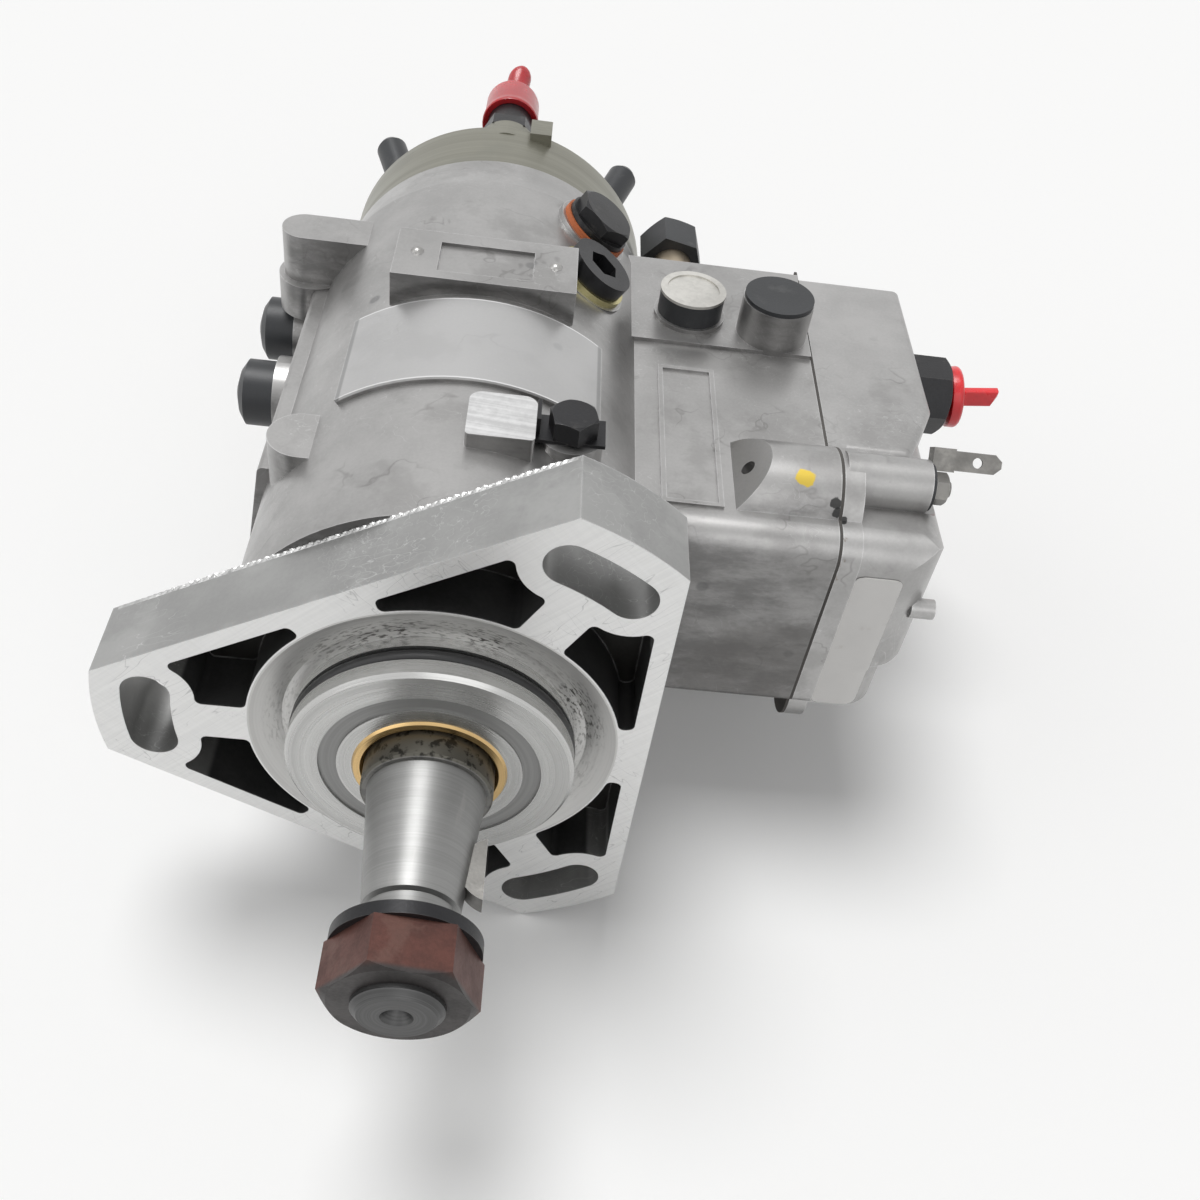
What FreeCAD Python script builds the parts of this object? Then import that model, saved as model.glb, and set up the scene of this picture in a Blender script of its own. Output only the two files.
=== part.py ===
import FreeCAD, Part
import math
import os

# Rotary distributor diesel injection pump, in millimetres. The drive shaft turns about Y with its
# nose towards -Y, the governor housing stands towards +X, and +Z is up as the pump lies on a bench.
# The origin is where the drive axis crosses the machined front face of the mounting flange.

Vec = FreeCAD.Vector
AXIS_X, AXIS_Y, AXIS_Z = Vec(1, 0, 0), Vec(0, 1, 0), Vec(0, 0, 1)
ORIGIN = Vec(0, 0, 0)

# Clearances between mating pieces
run_gap = 0.03
seat_gap = 0.02
free_gap = 0.3

# Mounting flange
flange_t = 18.5
flange_side = 47.5
flange_lobe_r = 73.5
slot_pitch_r = 62.0
slot_half_width = 5.25
slot_half_angle = 7.1
lobe_angles = (180.0, 60.0, -60.0)
pocket_inner_r = 41.0
pocket_wall_line = 43.2
pocket_web_half = 5.5
slot_boss_r = 10.3
pocket_depth = 14.0
pocket_end_angle = 47.0
pocket_corner_r = 1.5
dish_r = 40.2
dish_floor_r = 33.6
dish_depth = 2.6

# Pilot hub
pilot_r = 31.2
pilot_nose_y = -8.4
hub_seat_r = 30.8
pilot_chamfer = 0.9
o_ring_section = 3.3
o_ring_groove_w = 3.7
o_ring_groove_y = -2.2
o_ring_proud = 0.1
face_groove_r_out = 24.1
face_groove_r_in = 20.1
face_groove_depth = 2.0
bush_r_out = 16.8
bush_wall = 2.6
bush_lip = 0.6
bush_back_y = 12.0
tube_r = 24.0
tube_back_y = 38.0

# Drive shaft
taper_r_big = 12.7
taper_r_small = 9.9
taper_big_y = -15.0
taper_small_y = -43.0
thread_r = 9.0
shaft_tip_y = -65.3
tip_chamfer = 1.4
centre_hole_r = 3.2
centre_hole_depth = 4.0
shaft_body_r = 12.0
shaft_back_y = 100.0
tang_length = 7.0
tang_half_width = 4.0
key_width = 4.8
key_height = 3.0
key_sunk = 2.2
key_front_y = -40.5
key_back_y = -26.0
nut_af = 27.0
nut_front_y = -63.0
nut_back_y = -52.1
nut_turn = -8.0
nut_bevel = 1.3
washer_r = 15.0
washer_t = 2.8

# Pump housing, turned part
body_r = 50.0
bore_r = 40.5
bore_front_y = 42.0
body_taper_y = 160.0
body_end_r = 47.3
body_end_y = 177.5
band_r = 51.5
band_y0 = 64.0
band_y1 = 97.0
band_half_angle = 37.0
head_bore_y = 130.0

# Governor housing on the side of the casting
gov_half_z = 28.5
gov_y0 = 45.7
gov_y1 = 166.0
gov_joint_x = 90.4
gov_wall = 4.5
gov_edge_r = 7.3
gov_low_edge_r = 2.5
gov_rear_edge_r = 3.0
gov_floor_x = 51.5
gov_window_y1 = 104.0
gov_window_half_z = 20.0
step_y = 122.0
step_rise = 1.2
frame_x0 = 47.3
frame_x1 = 62.5
frame_y0 = 55.0
frame_y1 = 111.0
frame_line = 1.3
frame_rise = 0.7

# Cover and its joint
gasket_t = 0.8
cover_plate_t = 5.0
cover_high_x = 122.2
cover_slant_x = 113.0
cover_slant_y0 = 83.5
cover_slant_y1 = 105.0
cover_low_x = 119.0
cover_low_edge_r = 13.0
cover_foot_x = 114.0
cover_foot_edge_r = 10.0
cover_foot_z = -13.0
cover_low_y1 = 100.0
cover_end_edge_r = 2.0
cover_wall = 3.5
lug_y = 68.1
lug_z = 22.6
lug_r = 14.2
lug_x0 = 65.4
lug_ramp = 8.1
lug_drill_x = 68.5
lug_drill_y = 67.6
lug_drill_r = 2.0
low_lug_y = 57.0
low_lug_z = -31.0
low_lug_r = 9.7
cover_screw_r = 2.6
cover_screw_head_r = 4.5
cover_screw_head_h = 5.0
cover_screw_depth = 12.0
cover_column_r = 5.4

# Electric shut-off in the cover
coil_r = 9.5
coil_y = 74.0
coil_length = 14.0
coil_core_r = 3.0
terminal_y = 68.5
terminal_z = 30.8
terminal_boss_r = 6.8
terminal_end_x = 113.4
stud_r = 2.0
stud_nut_af = 7.2
stud_nut_t = 3.2
stud_end = 1.0
insulator_t = 1.0
blade_sheet = 0.8
blade_w = 4.9
blade_root_w = 5.8
blade_root_length = 5.6
blade_lift = 7.2
blade_reach = 17.4
blade_turn = -39.0
blade_hole_r = 1.3
blade_hole_x = 11.3
armature_x = 86.0
armature_t = 2.2
armature_pin_y = 63.5
armature_pin_r = 1.5
low_top_z = 27.5
low_edge_r = 8.0
low_end_r = 7.5
nib_r = 2.6
nib_y = 51.0
nib_z = 6.0

# Return outlet on the cover and port at the rear of the governor housing
return_y = 133.0
return_z = 14.0
return_af = 19.4
return_length = 12.3
return_stem_r = 6.0
return_bore_r = 4.5
return_disc_r = 8.4
return_disc_t = 5.4
return_grip_length = 9.6
return_grip_half = 1.8
return_grip_rise = 1.1
rear_port_x = 54.3
rear_port_z = 19.0
rear_port_r = 6.3
rear_port_boss_r = 8.5
rear_port_length = 18.4
rear_cap_af = 17.5
rear_cap_length = 14.0

# Timing window on the side that lies down
window_half_x = 14.0
window_y0 = 66.0
window_y1 = 92.0
window_pad_z = 53.0
window_screw_r = 1.9

# Shaft bores across the governor housing
throttle_x = 56.5
throttle_y = 136.0
throttle_boss_top = 38.0
throttle_boss_r = 9.2
throttle_shaft_r = 4.2
second_x = 79.7
second_y = 131.5
second_boss_r = 9.9
second_boss_top = 40.6
lever_t = 4.0
lever_length = 34.0
lever_end_r = 7.0
lever_hub_r = 9.0
lever_angle = 40.0

# Pads, plugs and caps on the turned body
plate_pad_half_x = 23.0
plate_pad_y0 = 101.0
plate_pad_y1 = 123.0
plate_pad_top = 53.6
plate_recess_half_x = 11.9
plate_recess_y0 = 104.5
plate_recess_y1 = 118.0
rivet_x = 17.5
rivet_y = 112.4
rivet_r = 1.7
front_pad_x0 = 0.6
front_pad_x1 = 15.7
front_pad_y0 = 41.0
front_pad_y1 = 56.5
front_pad_top = 53.8
hex_plug_x = 24.0
hex_plug_y = 51.5
hex_plug_af = 10.0
hex_plug_seat_z = 48.4
hex_plug_top_z = 54.2
lock_plate_t = 0.9
side_plug_angle = 57.0
socket_plug_y = 128.0
socket_plug_r = 9.0
socket_plug_seat = 50.1
head_plug_seat = 50.6
seal_ring_r = 10.0
head_plug_y = 153.2
head_plug_af = 15.5
head_plug_h = 4.2
upper_boss_x = -58.5
upper_boss_y0 = 141.0
upper_boss_y1 = 154.0
upper_body_r = 9.5
upper_boss_z = 12.0
side_boss_top = 36.5
lower_boss_x = -45.0
lower_boss_y0 = 48.0
lower_boss_y1 = 64.0
rib_x = -50.0
rib_top = 22.0
plug_stem_r = 6.5
seal_t = 1.6
locating_r = 4.0
cap_r = 9.2
cap_end_x = -67.0
cap_y_front = 118.0
cap_y_rear = 150.0
left_boss_r = 11.0
left_boss_x = -56.0

# Hydraulic head and its fittings
head_r = 46.2
head_y0 = 177.8
head_y1 = 204.0
head_edge = 2.5
head_spigot_r = 40.0
rotor_r = 12.0
outlet_angles = (30.0, 150.0, 210.0, 330.0)
outlet_base_r = 34.0
outlet_lean = 24.0
outlet_boss_r = 7.0
outlet_seat = 3.7
outlet_hex_h = 5.0
outlet_r = 3.6
outlet_cap_r = 4.9
outlet_tip = 28.5
inlet_z = 37.0
inlet_r = 7.2
inlet_boss_r = 9.5
inlet_plug_r = 8.7
inlet_length = 21.0

# Transfer pump at the rear end
liner_r = 23.9
liner_bore_r = 14.2
liner_offset = 1.8
liner_t = 12.0
blade_t = 2.0
end_plate_t = 7.0
end_screw_margin = 3.6
end_screw_angles = (60.0, 120.0, 240.0, 300.0)
regulator_r = 5.0

# Governor and pumping section
sleeve_r = 20.0
sleeve_length = 7.0
sleeve_travel = 5.0
cage_r = 37.0
cage_y0 = 88.5
cage_y1 = 93.5
weight_count = 6
weight_pitch_r = 27.0
weight_length = 22.0
plunger_r = 3.5
seal_groove_y = 165.0
cam_y0 = 104.4
cam_y1 = 126.0
cam_base_r = 27.0
cam_lobe_half = 25.6
roller_r = 4.2
roller_pitch_r = 20.6
roller_count = 4
arm_pivot_x = 46.0
arm_y = 54.0
arm_t = 2.5
arm_top_x = 73.0
arm_pad = 2.0
arm_prong_z = 15.0
link_x = 70.0
link_r = 1.5
link_z = 6.0
arm_pin_r = 2.0
meter_pin_r = 1.2
spring_x = 65.0
spring_z = -9.0
spring_r = 4.5
spring_wire = 0.7
spring_pitch = 8.4
spring_length = 42.0
meter_y = 150.0
meter_r = 4.0
meter_arm_r = 6.0
meter_bore_r = 7.5


def box(x0, x1, y0, y1, z0, z1):
    return Part.makeBox(x1 - x0, y1 - y0, z1 - z0, Vec(x0, y0, z0))


def rod(base, direction, radius, length):
    return Part.makeCylinder(radius, length, base, direction)


def rod_y(radius, y0, y1, x=0.0, z=0.0):
    return rod(Vec(x, y0, z), AXIS_Y, radius, y1 - y0)


def rod_x(radius, x0, x1, y, z):
    return rod(Vec(x0, y, z), AXIS_X, radius, x1 - x0)


def rod_z(radius, z0, z1, x, y):
    return rod(Vec(x, y, z0), AXIS_Z, radius, z1 - z0)


def ring_y(outer, inner, y0, y1, x=0.0, z=0.0):
    return rod_y(outer, y0, y1, x, z).cut(rod_y(inner, y0 - 1, y1 + 1, x, z))


def turned(profile):
    """Solid of revolution about Y from (radius, y) pairs."""
    points = [Vec(radius, y, 0) for radius, y in profile]
    face = Part.Face(Part.makePolygon(points + [points[0]]))
    return face.revolve(ORIGIN, AXIS_Y, 360)


def polar(angle, radius):
    return Vec(radius * math.cos(math.radians(angle)), 0, radius * math.sin(math.radians(angle)))


def turn_y(shape, angle):
    """Turn a copy about the drive axis, from +X towards +Z."""
    copy = shape.copy()
    copy.rotate(ORIGIN, AXIS_Y, -angle)
    return copy


def rounded_outline(corners):
    """Closed wire through (point, radius) corners, each corner a tangent arc."""
    edges = []
    count = len(corners)
    joints = []
    for i, (corner, radius) in enumerate(corners):
        before = (corners[i - 1][0] - corner).normalize()
        after = (corners[(i + 1) % count][0] - corner).normalize()
        half = before.getAngle(after) / 2
        if radius <= 0:
            joints.append((corner, None, corner))
            continue
        trim = radius / math.tan(half)
        middle = (before + after).normalize() * (radius / math.sin(half) - radius)
        joints.append((corner + before * trim, corner + middle, corner + after * trim))
    for i, (start, middle, end) in enumerate(joints):
        if middle is not None:
            edges.append(Part.Arc(start, middle, end).toShape())
        edges.append(Part.LineSegment(end, joints[(i + 1) % count][0]).toShape())
    return Part.Wire(edges)


def prism(corners, direction):
    return Part.Face(rounded_outline(corners)).extrude(direction)


def hexagon(centre, axis, across_flats, length, turn=0.0):
    """Hexagonal bar starting at centre and running along axis."""
    side = axis.cross(AXIS_Z if abs(axis.z) < 0.9 else AXIS_X).normalize()
    other = axis.cross(side)
    corner_r = across_flats / math.sqrt(3)
    corners = []
    for i in range(6):
        angle = math.radians(turn + 60 * i)
        corners.append((centre + side * (corner_r * math.cos(angle))
                        + other * (corner_r * math.sin(angle)), 0))
    return prism(corners, axis * length)


def beveled_hexagon(centre, axis, across_flats, length, bevel, turn=0.0, both=False):
    """Hexagonal bar whose far corners are turned off by a cone."""
    bar = hexagon(centre, axis, across_flats, length, turn)
    corner_r = across_flats / math.sqrt(3)
    flat_r = across_flats / 2
    cone_h = (corner_r + bevel - flat_r) * 0.6
    profile = Part.makeCylinder(corner_r + bevel, length - cone_h, centre, axis)
    top = Part.makeCone(corner_r + bevel, flat_r, cone_h, centre + axis * (length - cone_h), axis)
    envelope = profile.fuse(top)
    if both:
        low = Part.makeCone(flat_r, corner_r + bevel, cone_h, centre, axis)
        envelope = envelope.common(low.fuse(Part.makeCylinder(
            corner_r + bevel, length - cone_h, centre + axis * cone_h, axis)))
    return bar.common(envelope)


def ball_end(centre, axis, radius, length, flat):
    """Round bar with a domed far end, as on a moulded cap."""
    dome_h = radius * flat
    bar = Part.makeCylinder(radius, length - dome_h, centre, axis)
    tip = Part.makeCone(radius, radius * 0.72, dome_h * 0.6, centre + axis * (length - dome_h), axis)
    crown = Part.makeCone(radius * 0.72, radius * 0.3, dome_h * 0.4,
                          centre + axis * (length - dome_h * 0.4), axis)
    return bar.fuse([tip, crown])


def write(name, shape):
    shape = shape.removeSplitter()
    solids = shape.Solids
    kept = solids[0] if len(solids) == 1 else Part.makeCompound(solids)
    kept.exportStep(os.path.join("parts", name + ".step"))


def flange_outline():
    """Triangle with truncated corners: three sides joined by arcs about the axis."""
    corners = []
    half = math.degrees(math.acos(flange_side / flange_lobe_r))
    for lobe in lobe_angles:
        corners.append((lobe - (60 - half), lobe + (60 - half), lobe))
    edges = []
    ends = []
    for start, end, middle in corners:
        arc = Part.Arc(polar(start, flange_lobe_r), polar(middle, flange_lobe_r), polar(end, flange_lobe_r))
        edges.append(arc.toShape())
        ends.append((polar(start, flange_lobe_r), polar(end, flange_lobe_r)))
    order = sorted(range(3), key=lambda i: lobe_angles[i])
    for i in range(3):
        here = ends[order[i]]
        following = ends[order[(i + 1) % 3]]
        edges.append(Part.LineSegment(here[1], following[0]).toShape())
    return Part.Wire(Part.__sortEdges__(edges))


def arc_slot(lobe, half_width, y0, y1):
    """Slot that follows the pitch circle, with round ends."""
    outer, inner = slot_pitch_r + half_width, slot_pitch_r - half_width
    a, b = lobe - slot_half_angle, lobe + slot_half_angle
    out = half_width / slot_pitch_r
    edges = [
        Part.Arc(polar(a, outer), polar(lobe, outer), polar(b, outer)).toShape(),
        Part.Arc(polar(b, outer), polar(b + math.degrees(out), slot_pitch_r), polar(b, inner)).toShape(),
        Part.Arc(polar(b, inner), polar(lobe, inner), polar(a, inner)).toShape(),
        Part.Arc(polar(a, inner), polar(a - math.degrees(out), slot_pitch_r), polar(a, outer)).toShape(),
    ]
    face = Part.Face(Part.Wire(edges))
    face.translate(Vec(0, y0, 0))
    return face.extrude(Vec(0, y1 - y0, 0))


def pocket():
    """One blind cast pocket beside the 0 degree lobe, on the +Z side of its web."""
    normal = polar(60, 1)
    along = polar(-30, 1)
    foot = normal * pocket_wall_line
    tail = foot + along * (pocket_wall_line * math.tan(math.radians(60 - pocket_end_angle)))
    outer = foot + along * (pocket_wall_line * math.tan(math.radians(60 - slot_half_angle - 1)))
    start = Vec(pocket_inner_r - 3, 0, pocket_web_half)
    web_end = Vec(slot_pitch_r - 3, 0, pocket_web_half)
    inner = polar(pocket_end_angle, pocket_inner_r - 3)
    space = prism([(p, 0) for p in (start, web_end, outer, tail, inner)], Vec(0, pocket_depth, 0))
    boss_centre = polar(slot_half_angle, slot_pitch_r)
    space = space.cut([rod_y(slot_boss_r, -1, pocket_depth + 1, boss_centre.x, boss_centre.z),
                       rod_y(pocket_inner_r, -1, pocket_depth + 1)])
    upright = [e for e in space.Edges if e.BoundBox.YLength > pocket_depth - 0.01
               and e.BoundBox.XLength < 0.01 and e.BoundBox.ZLength < 0.01]
    rounded = space.makeFillet(pocket_corner_r, upright)
    rounded.translate(Vec(0, -0.001, 0))
    return rounded


def mounting_flange():
    plate = Part.Face(flange_outline()).extrude(Vec(0, flange_t, 0))
    dish = turned([(0, -1), (dish_r + 1, -1), (dish_r, 0), (dish_floor_r, dish_depth), (0, dish_depth)])
    plate = plate.cut(dish).cut(rod_y(hub_seat_r + seat_gap, -1, flange_t + 1))
    cuts = []
    one = pocket()
    other = one.mirror(ORIGIN, AXIS_Z)
    for lobe in lobe_angles:
        cuts.append(arc_slot(lobe, slot_half_width, -1, flange_t + 1))
        cuts.append(turn_y(one, lobe))
        cuts.append(turn_y(other, lobe))
    return plate.cut(cuts)


def o_ring_floor_r():
    return pilot_r - o_ring_section + o_ring_proud


def pilot_hub():
    """Bearing hub that centres the pump in the engine and carries bush, seals and housing."""
    groove_front = o_ring_groove_y - o_ring_groove_w / 2
    groove_back = o_ring_groove_y + o_ring_groove_w / 2
    face_floor = pilot_nose_y + face_groove_depth
    seat_r = bush_r_out + seat_gap
    lip_r = bush_r_out - bush_wall + 1.0
    return turned([(tube_r, flange_t), (hub_seat_r, flange_t), (hub_seat_r, 0), (pilot_r, 0), (pilot_r, groove_back), (o_ring_floor_r(), groove_back),
                   (o_ring_floor_r(), groove_front), (pilot_r, groove_front),
                   (pilot_r, pilot_nose_y + pilot_chamfer), (pilot_r - pilot_chamfer, pilot_nose_y),
                   (face_groove_r_out, pilot_nose_y), (face_groove_r_out, face_floor),
                   (face_groove_r_in, face_floor), (face_groove_r_in, pilot_nose_y),
                   (seat_r, pilot_nose_y), (seat_r, bush_back_y), (lip_r, bush_back_y),
                   (lip_r, bush_back_y + 2), (seal_pocket_r(), bush_back_y + 2),
                   (seal_pocket_r(), tube_back_y), (tube_r, tube_back_y)])


def o_ring(major, section, y):
    return Part.makeTorus(major, section / 2, Vec(0, y, 0), AXIS_Y)


def o_rings():
    """Pilot ring in front and the ring round the hydraulic head's spigot."""
    front = o_ring(o_ring_floor_r() + o_ring_section / 2 + seat_gap, o_ring_section, o_ring_groove_y)
    head_section = 2.5
    head = o_ring(head_spigot_r - 2.6 + head_section / 2 + seat_gap, head_section, seal_groove_y + 1.8)
    return Part.makeCompound([front, head])


def face_seal_ring():
    return ring_y(face_groove_r_out - seat_gap, face_groove_r_in + seat_gap,
                  pilot_nose_y + 0.5, pilot_nose_y + face_groove_depth)


def shaft_bush():
    inner = bush_r_out - bush_wall
    return turned([(inner + 0.8, pilot_nose_y - bush_lip), (bush_r_out - 0.4, pilot_nose_y - bush_lip),
                   (bush_r_out, pilot_nose_y), (bush_r_out, bush_back_y), (inner, bush_back_y),
                   (inner, pilot_nose_y + 0.4)])


def shaft_seals():
    seals = []
    for i in range(2):
        front = bush_back_y + 2 + free_gap + i * 7.0
        lip_r = journal_r() + free_gap
        seals.append(turned([(seal_pocket_r() - seat_gap, front), (seal_pocket_r() - seat_gap, front + 6),
                             (lip_r + 2.2, front + 6), (lip_r, front + 4.4), (lip_r + 0.8, front + 3),
                             (lip_r + 1.6, front)]))
    return Part.makeCompound(seals)


def journal_r():
    return bush_r_out - bush_wall - run_gap


def seal_pocket_r():
    return bush_r_out + 2


def taper_r(y):
    share = (y - taper_big_y) / (taper_small_y - taper_big_y)
    return taper_r_big + share * (taper_r_small - taper_r_big)


def drive_shaft():
    """Tapered nose with thread and centre hole, journal, body and driving tang."""
    journal = journal_r()
    shaft = turned([(0, shaft_tip_y), (thread_r - tip_chamfer, shaft_tip_y),
                    (thread_r, shaft_tip_y + tip_chamfer), (thread_r, taper_small_y - 0.6),
                    (taper_r_small, taper_small_y), (taper_r_big, taper_big_y),
                    (journal - 0.6, taper_big_y), (journal, taper_big_y + 0.6), (journal, tube_back_y - 6),
                    (shaft_body_r, tube_back_y - 4), (shaft_body_r, shaft_back_y), (0, shaft_back_y)])
    countersink = Part.makeCone(centre_hole_r, 0.8, centre_hole_depth, Vec(0, shaft_tip_y, 0), AXIS_Y)
    tang = box(-shaft_body_r, shaft_body_r, shaft_back_y - 1, shaft_back_y + tang_length,
               -tang_half_width, tang_half_width).common(rod_y(shaft_body_r - 1.5, 0, 200))
    return shaft.cut(countersink).fuse(tang).cut(key_blank(seat_gap))


def key_blank(gap):
    """Half-round key across +X, sunk in the taper; a gap makes its keyway."""
    middle = (key_front_y + key_back_y) / 2
    half = (key_back_y - key_front_y) / 2 + gap
    top = taper_r(middle) + key_height
    floor_x = taper_r(middle) - key_sunk - gap
    depth = top - floor_x
    disc_r = (half ** 2 + depth ** 2) / (2 * depth)
    disc = rod_z(disc_r, -key_width / 2 - gap, key_width / 2 + gap, floor_x + disc_r, middle)
    limit = top + (40 if gap > 0 else 0)
    return disc.common(box(floor_x - 1, limit, middle - half, middle + half, -key_width, key_width))


def shaft_washer():
    return ring_y(washer_r, thread_r + free_gap, nut_back_y, nut_back_y + washer_t)


def shaft_nut():
    length = nut_back_y - nut_front_y
    bar = beveled_hexagon(Vec(0, nut_back_y, 0), -AXIS_Y, nut_af, length, nut_bevel, 0.0)
    bar = turn_y(bar, nut_turn)
    return bar.cut(rod_y(thread_r + seat_gap, nut_front_y - 1, nut_back_y + 1))


def band():
    """Raised machined band round the upper half of the casting."""
    ring = ring_y(band_r, body_r - 2, band_y0, band_y1)
    reach = band_r + 10
    sector = [(ORIGIN, 0)]
    for angle in (90 - band_half_angle, 90, 90 + band_half_angle):
        sector.append((polar(angle, reach / math.cos(math.radians(band_half_angle / 2))), 0))
    wedge = prism([(point + Vec(0, band_y0 - 1, 0), r) for point, r in sector], AXIS_Y * (band_y1 - band_y0 + 2))
    return ring.common(wedge)


def gov_outline(x, inset):
    y0, y1, half_z = gov_y0 + inset, gov_y1 - inset, gov_half_z - inset
    rear_r = max(gov_rear_edge_r - inset, gov_low_edge_r)
    return [(Vec(x, y0, -half_z), gov_low_edge_r), (Vec(x, y1, -half_z), rear_r), (Vec(x, y1, half_z), rear_r),
            (Vec(x, y0, half_z), max(gov_edge_r - inset, gov_low_edge_r))]


def gov_block(x0, x1, inset=0.0):
    return prism(gov_outline(x0, inset), AXIS_X * (x1 - x0))


def lug(x0, x1):
    return rod_x(lug_r, x0, x1, lug_y, lug_z)


def low_lug(x0, x1):
    return rod_x(low_lug_r, x0, x1, low_lug_y, low_lug_z)


def ramped_lug():
    """Half-round lug on the housing whose inner end is a flat ramp with a small drilling."""
    rise = lug_z + lug_r - gov_half_z
    y0 = lug_y - lug_r - 1
    top = gov_half_z + 2 * rise
    above = prism([(Vec(lug_x0, y0, gov_half_z), 0), (Vec(lug_x0 - 20, y0, gov_half_z), 0),
                   (Vec(lug_x0 - 20, y0, top), 0), (Vec(lug_x0 + 2 * lug_ramp, y0, top), 0)],
                  AXIS_Y * (2 * lug_r + 2))
    normal = Vec(-rise, 0, lug_ramp).normalize()
    drill_z = gov_half_z + rise * (lug_drill_x - lug_x0) / lug_ramp
    drilling = Part.makeCylinder(lug_drill_r, 8, Vec(lug_drill_x, lug_drill_y, drill_z) - normal * 4, normal)
    return lug(lug_x0 - 4, gov_joint_x).cut([above, drilling])


def blank_frame():
    """Raised outline of the maker's panel, left bare."""
    top = gov_half_z + frame_rise
    outer = box(frame_x0, frame_x1, frame_y0, frame_y1, gov_half_z - 1, top)
    inner = box(frame_x0 + frame_line, frame_x1 - frame_line, frame_y0 + frame_line,
                frame_y1 - frame_line, gov_half_z - 2, top + 1)
    return outer.cut(inner)


def stadium_pad(x_end, x_root, y0, y1, z0, z1):
    """Flat-topped boss with a round end towards -X."""
    radius = (y1 - y0) / 2
    middle = (y0 + y1) / 2
    return rod_z(radius, z0, z1, x_end + radius, middle).fuse(box(x_end + radius, x_root, y0, y1, z0, z1))


def side_bosses():
    """Flat bosses, rib and cap seats on the -X side of the casting."""
    upper = stadium_pad(upper_boss_x, -20, upper_boss_y0, upper_boss_y1,
                        upper_boss_z, side_boss_top)
    upper_body = rod_z(upper_body_r, upper_boss_z, side_boss_top - 14, upper_boss_x + upper_body_r - 1.5,
                       (upper_boss_y0 + upper_boss_y1) / 2)
    lower = stadium_pad(lower_boss_x, -15, lower_boss_y0, lower_boss_y1, 0, side_boss_top)
    rib = prism([(Vec(rib_x - 3.0, lower_boss_y1 - 4, -6), 0), (Vec(rib_x + 8, lower_boss_y1 - 4, -6), 0),
                 (Vec(rib_x + 8, lower_boss_y1 - 4, rib_top), 0), (Vec(rib_x + 1.0, lower_boss_y1 - 4, rib_top), 1.5)],
                AXIS_Y * (upper_boss_y0 - lower_boss_y1 + 6))
    shapes = [upper, upper_body, lower, rib]
    for y in (cap_y_front, cap_y_rear):
        shapes.append(rod_x(left_boss_r, left_boss_x, -40, y, 0))
    return shapes


def slope_boss(y, radius, seat):
    out = polar(side_plug_angle, 1)
    return Part.makeCylinder(radius, seat - 36, out * 36 + Vec(0, y, 0), out)


def nameplate_pad():
    block = box(-plate_pad_half_x, plate_pad_half_x, plate_pad_y0, plate_pad_y1, 40, plate_pad_top)
    recess = box(-plate_recess_half_x, plate_recess_half_x, plate_recess_y0, plate_recess_y1,
                 plate_pad_top - 0.9, plate_pad_top + 1)
    block = block.cut(recess)
    for side in (-1, 1):
        block = block.cut(rod_z(rivet_hole_r(), plate_pad_top - 4, plate_pad_top + 1, side * rivet_x, rivet_y))
    return block


def rivet_hole_r():
    return rivet_r * 0.6 + seat_gap


def front_pad():
    corners = [(Vec(front_pad_x0, front_pad_y0, 44), 1.0), (Vec(front_pad_x1, front_pad_y0, 44), 1.0),
               (Vec(front_pad_x1, front_pad_y1, 44), 3.0), (Vec(front_pad_x0, front_pad_y1, 44), 3.0)]
    return prism(corners, AXIS_Z * (front_pad_top - 44))


def housing_outside():
    turned_body = turned([(0, flange_t), (body_r, flange_t), (body_r, body_taper_y),
                          (body_end_r, body_end_y), (0, body_end_y)])
    step = box(gov_block_root(), gov_joint_x, step_y, gov_y1 - 1.5, 20, gov_half_z + step_rise)
    shapes = [band(), gov_block(gov_block_root(), gov_joint_x), step, ramped_lug(), blank_frame(),
              nameplate_pad(), front_pad()]
    shapes.append(rod_z(throttle_boss_r + 0.8, 20, gov_half_z + step_rise + 1.2, throttle_x, throttle_y))
    shapes.append(rod_z(second_boss_r, 20, second_boss_top, second_x, second_y))
    shapes.append(rod_z(hex_plug_seat_r(), 38, hex_plug_seat_z, hex_plug_x, hex_plug_y))
    shapes.append(slope_boss(socket_plug_y, seal_ring_r + 1.0, socket_plug_seat))
    shapes.append(slope_boss(head_plug_y, seal_ring_r + 1.0, head_plug_seat))
    shapes.append(rod_z(throttle_boss_r, -gov_half_z - 6, -20, throttle_x, throttle_y))
    shapes.append(rod_y(rear_port_boss_r, gov_y1 - 6, gov_y1 + 1.5, rear_port_x, rear_port_z))
    shapes.append(window_pad())
    shapes.extend(side_bosses())
    return turned_body.fuse(shapes)


def gov_block_root():
    return 30.0


def hex_plug_seat_r():
    return hex_plug_af * 0.72


def window_pad():
    """Flat pad of the timing window on the side that lies down."""
    return box(-window_half_x - 5, window_half_x + 5, window_y0 - 6, window_y1 + 6, -window_pad_z, -40)


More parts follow.
